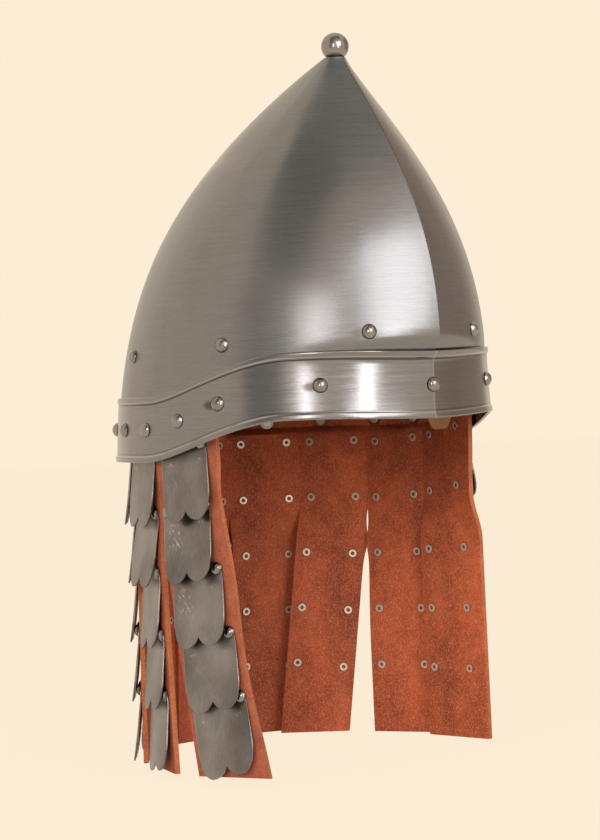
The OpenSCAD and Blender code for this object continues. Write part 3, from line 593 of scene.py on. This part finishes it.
linerSuede = leather("linerSuede", rgb(122, 82, 58), rgb(158, 110, 80), rgb(184, 140, 108), fuzz=0.3)
print("materials done")


# Skull: two halves that meet on the keel
def skullHalf(side):
    t = np.linspace(0, 180, skull["columns"] + 1)[None, :]
    low = arch(t) + skull["edgeUp"]
    f = 1 - (1 - np.linspace(0, 1, skull["rows"] + 1)[:, None]) ** skull["rowEase"]
    z = low + (skull["height"] - low) * f
    outer, inner = section(z, t), under(z, t, skull["sheet"])
    top = np.array([0, -skull["leanForward"], skull["height"]])
    hub = top + skull["hubRadius"] * np.stack([sinDeg(t), -cosDeg(t), 0 * t], -1)
    outer = np.concatenate([outer, hub])
    inner = np.concatenate([inner, hub - [0, 0, skull["sheet"]]])
    if side < 0:
        outer, inner = (g[:, ::-1] * [-1, 1, 1] for g in (outer, inner))
    name = "skull_left" if side > 0 else "skull_right"
    piece = sheetPiece(name.replace("_l", "L").replace("_r", "R") + "Plate", outer, inner, [skullSteel])
    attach(piece, "helmet")
    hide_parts(name)


bandRows = dict(
    bead=((1.0, 0.0), (0.94, 0.15), (0.86, 0.6), (0.77, 0.92), (0.6, 1.0), (0.3, 1.0), (0.14, 0.95),
          (0.04, 0.7), (0.0, 0.35)),  # shares of a bead's height and of how far it stands out
    plain=(0.3, 0.6, 1.0, 4.0, 10.0, 16.0, 22.0, 26.5, 27.3, 27.8),  # down from the upper bead
    inside=(0.25, 5, 10, 15, 20.3, 25, 30.3, 33.3, 36.0))  # up from the lower edge


def browBand():
    n = band["columns"]
    t = (np.arange(n) - n // 2) * 360 / n
    h, o = band["beadHeight"], band["beadOut"]
    bead = [(h * a, o * b) for a, b in bandRows["bead"]]
    upper = [(band["height"] - a, b) for a, b in bead[::-1]]
    plain = [(band["height"] - h - a, 0.0) for a in bandRows["plain"]]
    outside = [(a, band["touch"] + band["sheet"] + b) for a, b in upper + plain + bead]
    rows = outside + [(a, band["touch"]) for a in bandRows["inside"]]
    grid = np.stack([beside(arch(t) + a, t, b) for a, b in rows])
    piece = ringPiece("browBand", grid, [bandSteel], 40)
    pointValues(piece.data, upBand=np.repeat([a for a, b in rows], n))
    crease = [abs(v.co.x) < 1e-6 and v.co.y < 0 for v in piece.data.vertices]
    for e in piece.data.edges:
        if crease[e.vertices[0]] and crease[e.vertices[1]]:
            e.use_edge_sharp = True
    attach(piece, "helmet")
    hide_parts("brow_band")


skullHalf(1)
skullHalf(-1)
browBand()
print("skull and band done")


# Leather: one piece to each strap, from the band down, with a shared edge above the slits
leaf = dict(gap=0.9, slitTop=-27.0, slitOver=10.0, openOver=16.0, corner=6.5, topBlend=-2.0,
            strapBlend=-23.0, columns=22, flatFrom=-36.0, flatRows=34, topFrom=-34.0, topRows=24,
            kneeRows=(0.34, 0.67, 1.0), bendRows=(0.12, 0.5, 0.88), kneeFrom=0.6, lowRoom=8.0,
            bandRows=(16.0, 18.15, 21.0, 24.0, 26.9), cornerIn=0.3, hingeUp=0.011, hingeDown=0.001,
            lap=(0, 0, 0, 1.5, 1.3, 0, 0, 0), touchPair=2, touch=1.7, touchAt=-57.0, touchOver=8.0,
            frontCut=4.6, frontCutAt=-112.0, frontCutOver=42.0)


def columnHalf(k, side):
    edge = (k == 1 and side < 0) or (k == curtain["straps"] and side > 0)
    return curtain["strapWidth"] / 2 + (curtain["margin"][side > 0] if edge else 0), edge


def near(k, side):  # the neighbour on that side, or the strap itself at an end
    return min(max(k + side, 1), curtain["straps"])


def rawPoint(k, along, z):
    s = secondRow + own("rise", k) - z
    w = smooth((leaf["topBlend"] - z) / (leaf["topBlend"] - leaf["strapBlend"]))
    w = np.broadcast_to(w, np.broadcast(along, z).shape)[..., None]
    return flatPoint(k, along, z) * (1 - w) + strapPoint(k, s, along) * w


def aboveScale(k, along):
    slant = sinDeg(own("roll", k))
    return curtain["firstRow"] + own("rise", k) + scale["rise"] + curtain["fit"] + along * slant


def kneeHeight(k, u):  # where the leather starts to bend under the band
    half = curtain["strapWidth"] / 2
    z = aboveScale(k, u * half)
    for side in (-1, 1):
        n = near(k, side)
        if n != k:
            start = leaf["kneeFrom"]
            w = smooth((np.abs(u) - start) / (1 - start)) * (u * side > 0)
            z = z * (1 - w / 2) + aboveScale(n, -side * half) * w / 2
    return z


def hump(z, at, over):
    return np.exp(-((z - at) / over) ** 2)


def lapOver(k, side, z):  # how far an edge reaches past the middle of its slit
    pair = k if side > 0 else k - 1
    bulge = leaf["touch"] * hump(z, leaf["touchAt"], leaf["touchOver"]) if pair == leaf["touchPair"] else 0
    return leaf["lap"][pair - 1] + bulge


def sideGap(k, side, z):  # how far an edge stands back from the middle between two straps
    if columnHalf(k, side)[1]:
        return 0.0
    close = abs(own("shift", k) - own("shift", near(k, side)))
    return (leaf["gap"] + close) / 2 - lapOver(k, side, z)


def leatherGrid(k, u, zLow):
    half = np.where(u < 0, columnHalf(k, -1)[0], columnHalf(k, 1)[0])
    closed = smooth((zLow - leaf["slitTop"] + leaf["slitOver"]) / leaf["slitOver"])
    if k == curtain["straps"]:  # its front edge curves in above the lower corner
        cut = leaf["frontCut"] * hump(zLow, leaf["frontCutAt"], leaf["frontCutOver"])
        half = half - np.where(u > 0, cut, 0)
    gap = np.where(u < 0, sideGap(k, -1, zLow), sideGap(k, 1, zLow))
    return rawPoint(k, u * (half - gap * (1 - closed)), zLow)


def heldAt(z):  # 1 where neighbours are one leather, 0 down in the open slit
    return smooth((z - leaf["slitTop"] + leaf["openOver"]) / leaf["openOver"])


def curtainGrids():
    u = np.sin(np.linspace(-90, 90, leaf["columns"] + 1) * math.pi / 180)
    u = np.linspace(-1, 1, leaf["columns"] + 1) * 0.5 + u * 0.5
    bottom = secondRow - curtain["length"]
    z = np.concatenate([np.linspace(bottom, leaf["flatFrom"], leaf["flatRows"]),
                        np.linspace(leaf["topFrom"], 0, leaf["topRows"])])[:, None]
    depth = skull["sheet"] + curtain["fit"] + band["touch"] + curtain["leather"] / 2
    first = (band["height"] - leaf["lowRoom"]) / 2 - 2 * curtain["fit"]
    grids = {}
    for k in range(1, curtain["straps"] + 1):
        uu = u[None, :]
        low = leatherGrid(k, uu, np.broadcast_to(z, (len(z), len(u))))
        knee = kneeHeight(k, uu)
        mids = [leatherGrid(k, uu, f * knee) for f in leaf["kneeRows"]]
        ends = [(own("shift", k) + own("shift", near(k, side))) / 2 for side in (-1, 1)]
        shift = own("shift", k) * (1 - np.abs(uu)) + np.where(uu < 0, ends[0], ends[1]) * np.abs(uu)
        a = ringAngle((k - middleStrap) * curtain["strapWidth"] + uu * curtain["strapWidth"] / 2 + shift)
        t = np.where(a > 0, a - 180, a + 180)
        tops = [beside(arch(t) + h, t, -depth) for h in (first,) + leaf["bandRows"]]
        bends = [mids[-1] * (1 - w) + tops[0] * w for w in leaf["bendRows"]]
        grids[k] = np.concatenate([low] + [m.reshape(1, len(u), 3) for m in mids + bends + tops])
    # neighbours share their edge above the slit and round the corner between their flats
    reach = leaf["corner"] / (curtain["strapWidth"] / 2)
    for k in range(1, curtain["straps"]):
        a, b = grids[k], grids[k + 1]
        held = heldAt(a[:, -1, 2])[:, None, None]
        mean = (a[:, -1] + b[:, 0]) / 2
        inward = (a[:, -4] + b[:, 3]) / 2 - mean
        mean = mean + leaf["cornerIn"] * inward * np.array([1, 1, 0])
        wa, wb = (np.clip((v - (1 - reach)) / reach, 0, 1) ** 2 for v in (u, -u))
        grids[k] = a + held * wa[None, :, None] * (mean - a[:, -1])[:, None, :]
        grids[k + 1] = b + held * wb[None, :, None] * (mean - b[:, 0])[:, None, :]
    return grids


def gridNormals(g):
    return unit(np.cross(np.gradient(g, axis=1), np.gradient(g, axis=0)))


def cutSize(g):  # the flat size in metres, along the middle of the leather
    width = lengths(np.diff(g, axis=1)).sum(1).max() / 1000
    length = lengths(np.diff(g, axis=0)).sum(0).max() / 1000
    a, b = g[1:, 1:] - g[:-1, :-1], g[1:, :-1] - g[:-1, 1:]
    area = lengths(np.cross(a, b)).sum() / 2 / 1e6
    return float(width), float(length), float(min(area, width * length))


def curtainPieces():
    grids = curtainGrids()
    normals = {k: gridNormals(g) for k, g in grids.items()}
    for k in range(1, curtain["straps"]):
        both = unit(normals[k][:, -1] + normals[k + 1][:, 0])
        w = heldAt(grids[k][:, -1, 2])[:, None]
        normals[k][:, -1] = unit(normals[k][:, -1] * (1 - w) + both * w)
        normals[k + 1][:, 0] = unit(normals[k + 1][:, 0] * (1 - w) + both * w)
    for k, g in grids.items():
        half = normals[k] * curtain["leather"] / 2
        piece = sheetPiece("curtainLeather%d" % k, g + half, g - half,
                           [outerLeather, curtainLeather, cutLeather], 50)
        body = "strap_%d_body" % k
        origin = flatPoint(k, 0.0, secondRow + own("rise", k)) * 0.001
        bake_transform(piece)
        if k == 1:
            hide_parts("curtain_yoke", "strap_1")
        else:
            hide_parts("strap_%d" % k)
        width, length, area = cutSize(g)
        print("curtain leather", k, "cut", round(width * 1000), "by", round(length * 1000), "mm")


curtainPieces()
print("curtain leather done")


# Scales: one shape, set on each row's points by Geometry Nodes, one mesh to each body
scaleGrid = dict(rows=26, columns=24, bevel=0.22, dishOver=30.0, sharpAbove=60)


def roundedEnd(x, start, reach, height):  # how far a quarter ellipse has fallen at x, from its start
    g = (x - start) / reach
    return height * (1 - math.sqrt(max(0.0, 1 - g * g)))


def scaleColumn(x):  # lower and upper end of the scale at a distance from its middle line
    s, half = scale, scale["width"] / 2
    lobe = (half - s["lobeOut"], s["lobeHeight"]) if x >= s["lobeOut"] else (s["lobeRadius"],) * 2
    straight = half - s["cornerRadius"]
    corner = roundedEnd(max(x, straight), straight, s["cornerRadius"], s["cornerRadius"])
    return roundedEnd(x, s["lobeOut"], *lobe) - s["drop"], s["rise"] - corner


def scaleMesh():
    rows, half = scaleGrid["rows"], scaleGrid["columns"] // 2
    columns = []
    for j in range(-half, half + 1):
        x = scale["width"] / 2 * abs(j) / half
        lower, upper = scaleColumn(x)
        columns.append([(math.copysign(x, j) if j else 0.0, lower + (upper - lower) * i / rows)
                        for i in range(rows + 1)])
    x, y = np.array(columns).transpose(2, 1, 0).reshape(2, -1)
    below = np.clip(-y - scale["flat"], 0, None)
    z = -scale["dish"] * (x / (scale["width"] / 2)) ** 2 * smooth(below / scaleGrid["dishOver"])
    verts = np.concatenate([np.stack([x, y, z + scale["thickness"]], -1), np.stack([x, y, z], -1)])
    mesh = bpy.data.meshes.new("scaleShape")
    mesh.from_pydata((verts * 0.001).tolist(), [], plateFaces(rows + 1, 2 * half + 1))
    mesh.update()
    pointValues(mesh, below=np.tile(below, 2) * 0.001, beside=np.tile(x, 2) * 0.001)
    shape = linked("scaleShape", mesh)
    edge = shape.modifiers.new("edge", "BEVEL")
    edge.width = scaleGrid["bevel"] * 0.001
    edge.segments = 2
    edge.limit_method = "ANGLE"
    edge.angle_limit = math.radians(scaleGrid["sharpAbove"])
    return shape


def scaleTree():
    group = bpy.data.node_groups.new("scalesOnRows", "GeometryNodeTree")
    for name, kind in (("Points", "Geometry"), ("Scale shape", "Object"), ("Steel", "Material")):
        group.interface.new_socket(name, in_out="INPUT", socket_type="NodeSocket" + kind)
    group.interface.new_socket("Scales", in_out="OUTPUT", socket_type="NodeSocketGeometry")
    tree = Tree(group)
    given = group.nodes.new("NodeGroupInput")
    points, shape, steel = (Wire(tree, given.outputs[i]) for i in range(3))

    def named(name, kind):
        return tree.add("GeometryNodeInputNamedAttribute", dict(data_type=kind), {"Name": name})

    info = tree.node("GeometryNodeObjectInfo", None, {"Object": shape})
    normal, across = (named(name, "FLOAT_VECTOR") for name in ("facing", "across"))
    turn = tree.add("FunctionNodeAxesToRotation", dict(primary_axis="Z", secondary_axis="X"),
                    {"Primary Axis": normal, "Secondary Axis": across})
    placed = tree.add("GeometryNodeInstanceOnPoints", None,
                      {"Points": points, "Instance": Wire(tree, info.outputs["Geometry"]), "Rotation": turn})
    real = tree.add("GeometryNodeRealizeInstances", None, {"Geometry": placed})
    lift = named("below", "FLOAT") * named("stand", "FLOAT")
    offset = tree.add("ShaderNodeVectorMath", dict(operation="SCALE"), {0: normal, "Scale": lift})
    bent = tree.add("GeometryNodeSetPosition", None, {"Geometry": real, "Offset": offset})
    made = tree.add("GeometryNodeSetMaterial", None, {"Geometry": bent, "Material": steel})
    out = group.nodes.new("NodeGroupOutput")
    group.links.new(made.socket, out.inputs[0])
    return group


def setInput(modifier, name, value):
    for item in modifier.node_group.interface.items_tree:
        if item.item_type == "SOCKET" and item.in_out == "INPUT" and item.name == name:
            modifier[item.identifier] = value


def plainMesh(name, source, angle=38):  # the modifiers' result as a mesh of its own
    bpy.context.view_layer.update()
    depsgraph = bpy.context.evaluated_depsgraph_get()
    mesh = bpy.data.meshes.new_from_object(source.evaluated_get(depsgraph), preserve_all_data_layers=True,
                                           depsgraph=depsgraph)
    source.modifiers.clear()
    bpy.data.objects.remove(source)
    shaded(mesh, angle)
    return linked(name, mesh)


def scalesOn(name, rows, shape, group):
    mesh = bpy.data.meshes.new(name + "Points")
    frames = [scaleFrame(k, row) for k, row in rows]
    mesh.from_pydata([tuple((origin + n * (curtain["leather"] / 2 + underGap(k, row))) * 0.001)
                      for (k, row), (origin, x, y, n) in zip(rows, frames)], [], [])
    pointValues(mesh, "FLOAT_VECTOR", "vector", facing=[f[3] for f in frames], across=[f[1] for f in frames])
    pointValues(mesh, stand=[math.tan(math.radians(standAngle(k, row))) for k, row in rows],
                wear=[scale["wear"].get((k, row), 0.0) for k, row in rows])
    points = linked(name + "Points", mesh)
    modifier = points.modifiers.new("scales", "NODES")
    modifier.node_group = group
    setInput(modifier, "Scale shape", shape)
    setInput(modifier, "Steel", scaleSteel)
    return plainMesh(name, points)


def allScales():
    shape, group = scaleMesh(), scaleTree()
    straps = range(1, curtain["straps"] + 1)
    piece = scalesOn("scalesFirstRow", [(k, 1) for k in straps], shape, group)
    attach(piece, "helmet")
    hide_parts("yoke_scales")
    for k in straps:
        rows = [(k, row) for row in range(2, curtain["rows"] + 1)]
        piece = scalesOn("scalesStrap%d" % k, rows, shape, group)
        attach(piece, "strap_%d_body" % k)
        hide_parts("strap_%d_scales" % k)
    bpy.data.objects.remove(shape)


allScales()
print("scales done")


# Liner: the band and eight tongues that close over the head
liner = dict(thickness=1.6, bandHeight=17.0, rivetZ=58.6, rivetRise=8.4, count=8, tongueWidth=38.0,
             tipZ=(20, 20, 20, 20, 12, 20, 20, 20), tipRise=16.0, tipShare=0.3, bendZ=85.0, topZ=158.0,
             ringRadius=22.0, ringHalf=14.0, inset=17.0, hangTo=12.0, bandColumns=144, bandRows=7,
             tongueColumns=13, tipRows=8, wallRows=4, heldRows=6, closingRows=14)


def linerHeight(t):
    return liner["rivetZ"] + liner["rivetRise"] * ((1 + cosDeg(t)) / 2) ** 2


linerDepth = skull["sheet"] + curtain["fit"]
tongueDepth = linerDepth + liner["thickness"] + 2 * curtain["fit"]


def linerBand():
    n = liner["bandColumns"]
    t = (np.arange(n) - n // 2) * 360 / n
    heights = np.linspace(-0.5, 0.5, liner["bandRows"]) * liner["bandHeight"]
    inner = linerDepth + liner["thickness"]
    rows = [(h, linerDepth) for h in heights[::-1]] + [(h, inner) for h in heights]
    grid = np.stack([under(linerHeight(t) + a, t, b) for a, b in rows])
    piece = ringPiece("linerBand", grid, [linerSuede], 50)
    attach(piece, "helmet")
    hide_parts("liner_band")


def tonguePoints(a, tipZ, rows, sides, more):  # along the wall, then over to the ring on top
    s = liner
    z0, bend = rows[:, :1], rows[:, 1:]
    z = z0 + (s["topZ"] - s["bendZ"]) * sinDeg(bend)
    perDegree = lengths(section(z, a + 1.0) - section(z, a - 1.0)) / 2
    full = s["tongueWidth"] / 2
    tip = np.clip((z0 - tipZ) / s["tipRise"], 0, 1)
    end = s["ringRadius"] * sinDeg(s["ringHalf"])
    half = np.where(bend > 0, end + (full - end) * cosDeg(bend),
                    full * (s["tipShare"] + (1 - s["tipShare"]) * np.sqrt(1 - (1 - tip) ** 2)))
    t = a + sides * half / perDegree
    hangEnd = s["rivetZ"] - s["hangTo"]
    hang = s["inset"] * (1 - smooth((z - tipZ) / (hangEnd - tipZ)))
    depth = tongueDepth + hang + more
    zz = np.broadcast_to(z, t.shape)
    wall = section(zz, t) - np.broadcast_to(depth, t.shape)[..., None] * facing(zz, t)
    endT = a + sides * s["ringHalf"]
    ex = s["ringRadius"] * sinDeg(endT)
    ey = -middle(s["bendZ"]) - s["ringRadius"] * cosDeg(endT)
    pull = 1 - cosDeg(bend)
    x = wall[..., 0] + (ex - wall[..., 0]) * pull
    y = wall[..., 1] + (ey - wall[..., 1]) * pull
    return np.stack([x, y, np.broadcast_to(z - more * sinDeg(bend), x.shape)], -1)


def linerTongues():
    s = liner
    sides = np.linspace(-1, 1, s["tongueColumns"])[None, :]
    verts, faces, cuts = [], [], []
    for i in range(s["count"]):
        a = (i + 0.5) * 360 / s["count"] - 180
        rest, tipZ = linerHeight(a), s["tipZ"][i]
        low, high = tipZ + s["tipRise"], rest - s["bandHeight"] / 2
        tip = 1 - cosDeg(np.linspace(0, 90, s["tipRows"]))
        z = np.concatenate([tipZ + s["tipRise"] * tip, np.linspace(low, high, s["wallRows"])[1:-1],
                            np.linspace(high, rest + s["bandHeight"] / 2, s["heldRows"])])
        bend = np.linspace(0, 90, s["closingRows"])
        rows = np.concatenate([np.stack([z, 0 * z], -1), np.stack([s["bendZ"] + 0 * bend, bend], -1)])
        outer, inner = (tonguePoints(a, tipZ, rows, sides, more) for more in (0.0, s["thickness"]))
        cuts.append(cutSize((outer + inner) / 2))
        faces += plateFaces(*outer.shape[:2], len(verts))
        verts.extend(outer.reshape(-1, 3).tolist() + inner.reshape(-1, 3).tolist())
    piece = finish("linerTongues", verts, faces, [linerSuede], 50)
    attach(piece, "helmet")
    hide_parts("liner_tongues")


linerBand()
linerTongues()
print("liner done")

# Turned metal pieces keep the frame's own shapes; tubular rivets get painted shade on their rims and in their
# hollows
tubular = dict(domeRadius=3.6, rollRadius=2.5, hollowRadius=1.1)


def mapRivets(mesh, rows, s):  # from each point's distance to its rivet's axis
    points = np.empty(len(mesh.vertices) * 3, np.float32)
    mesh.vertices.foreach_get("co", points)
    points = points.reshape(-1, 3) * 1000.0
    away, height = np.full(len(points), np.inf), np.zeros(len(points))
    for k, row in rows:
        origin, x, y, n = scaleFrame(k, row)
        for side in (-0.5, 0.5):
            d = points - origin - x * side * scale["rivetSpan"]
            h = d @ n
            r = lengths(d - np.outer(h, n))
            closer = r < away
            away[closer], height[closer] = r[closer], h[closer]
    pointValues(mesh, rim=away / np.where(height > 0, s["domeRadius"], s["rollRadius"]),
                hollow=(away < s["hollowRadius"]) & (height < 0))


straps = range(1, curtain["straps"] + 1)
mapRivets(nodes["yoke_scale_rivets"].data, [(k, 1) for k in straps], tubular)
for k in straps:
    mapRivets(nodes["strap_%d_rivets" % k].data, [(k, row) for row in range(2, curtain["rows"] + 1)], tubular)

for name, node in nodes.items():
    metal = (washerSteel if "washers" in name else rivetSteel if "rivets" in name
             else darkSteel if name.startswith("finial") else None)
    if metal:
        node.data.materials.clear()
        node.data.materials.append(metal)
print("rivets done")


# Camera, as the photograph was taken: its axes and its place in metres
cameraSettings = dict(right=(0.78868259, -0.61338237, -0.04173532), up=(0.04198765, -0.0139872, 0.99902022),
                      away=(0.61336515, 0.78966222, -0.01472303), place=(-0.94458, -1.21708, 0.03647),
                      focal=2692 / 840 * 36, sensor=36, clip=(0.05, 50), centre=(306.9, 430.0),
                      frame=(600, 840))


def makeCamera(s):
    right, up, away = Vector(s["right"]), Vector(s["up"]), Vector(s["away"])
    data = bpy.data.cameras.new("camera")
    data.lens = s["focal"]
    data.sensor_width = s["sensor"]
    data.clip_start, data.clip_end = s["clip"]
    w, h = s["frame"]
    data.shift_x = (w / 2 - s["centre"][0]) / h
    data.shift_y = (s["centre"][1] - h / 2) / h
    camera = linked("camera", data)
    turn = Matrix((right, up, -away)).transposed().to_4x4()
    camera.matrix_world = Matrix.Translation(Vector(s["place"])) @ turn
    bpy.context.scene.camera = camera
    return right, up, away


right, up, away = makeCamera(cameraSettings)

# Studio: softboxes and dark flags, each at an azimuth, an elevation and a distance from this point
middlePoint = Vector((0, -0.015, 0.05))
cream = rgb(253, 237, 214)
stage = dict(floorHalf=6, floorDown=0.004, floorGlow=0.96, skySeen=0.55, skyLight=0.45)


def studioPlace(azimuth, elevation, distance):
    a, e = math.radians(azimuth), math.radians(elevation)
    d = (-away * math.cos(a) + right * math.sin(a)) * math.cos(e) + up * math.sin(e)
    at = middlePoint + d * distance
    return Matrix.Translation(at) @ d.to_track_quat("Z", "Y").to_matrix().to_4x4()


def softbox(name, azimuth, elevation, distance, width, height, power, colour):
    data = bpy.data.lights.new(name, "AREA")
    data.shape = "RECTANGLE"
    data.size, data.size_y = width, height
    data.energy, data.color = power, colour
    lamp = linked(name, data)
    lamp.matrix_world = studioPlace(azimuth, elevation, distance)
    return lamp


def board(name, w, h, z, m):  # a plain card of half width w and half height h
    mesh = bpy.data.meshes.new(name)
    mesh.from_pydata([(-w, -h, z), (w, -h, z), (w, h, z), (-w, h, z)], [], [(0, 1, 2, 3)])
    mesh.materials.append(m)
    return linked(name, mesh)


def flag(name, azimuth, elevation, distance, width, height, glow):  # a card that only reflections show
    m, tree = material(name + "Card")
    show(tree, tree.add("ShaderNodeEmission", None, {"Color": (*glow, 1), "Strength": 1.0}))
    card = board(name, width / 2, height / 2, 0, m)
    card.data.transform(studioPlace(azimuth, elevation, distance))
    card.visible_camera = False
    card.visible_shadow = False
    card.visible_diffuse = False


softbox("keyBox", 31, 23, 1.6, 1.0, 0.98, 9.4, (0.98, 0.99, 1.0))
softbox("stripBox", -12, 10, 1.6, 0.2, 0.6, 2.6, (1.0, 0.99, 0.98))
softbox("lowBox", 27, 0, 1.6, 0.24, 0.45, 1.8, (1.0, 0.99, 0.98))
fill = softbox("fillBox", -22, 17, 2.2, 1.4, 1.1, 31, (1.0, 0.985, 0.96))
fill.visible_glossy = False
flag("leftFlag", -31, 50, 1.4, 0.75, 1.3, (0.34, 0.34, 0.28))
flag("leftLowFlag", -37, 8, 1.4, 0.55, 0.75, (0.42, 0.39, 0.34))
flag("topFlag", 12, 74, 1.4, 1.2, 0.8, (0.44, 0.42, 0.35))
flag("rightFlag", 117, 20, 1.4, 1.55, 1.4, (0.56, 0.43, 0.33))


def seenDirectly(tree):
    path = tree.node("ShaderNodeLightPath")
    camera, glossy, clear = (Wire(tree, path.outputs["Is %s Ray" % kind])
                             for kind in ("Camera", "Glossy", "Transmission"))
    return camera.most(glossy).most(clear)


def makeFloor():
    m, tree = material("paleFloor")
    plain = tree.add("ShaderNodeBsdfDiffuse", None, {"Color": cream})
    glow = tree.add("ShaderNodeEmission", None, {"Color": cream, "Strength": 1.0})
    show(tree, tree.add("ShaderNodeMixShader", None,
                        {0: seenDirectly(tree) * stage["floorGlow"], 1: plain, 2: glow}))
    half = stage["floorHalf"]
    floor = board("floor", half, half, cadLow[2] - stage["floorDown"], m)


def makeWorld():
    world = bpy.data.worlds.new("studio")
    bpy.context.scene.world = world
    world.use_nodes = True
    world.node_tree.nodes.clear()
    tree = Tree(world.node_tree)
    strength = seenDirectly(tree) * stage["skySeen"] + stage["skyLight"]
    show(tree, tree.add("ShaderNodeBackground", None, {"Color": cream, "Strength": strength}),
         "ShaderNodeOutputWorld")


makeFloor()
makeWorld()
bpy.context.scene.view_settings.view_transform = "Standard"
print("studio done")
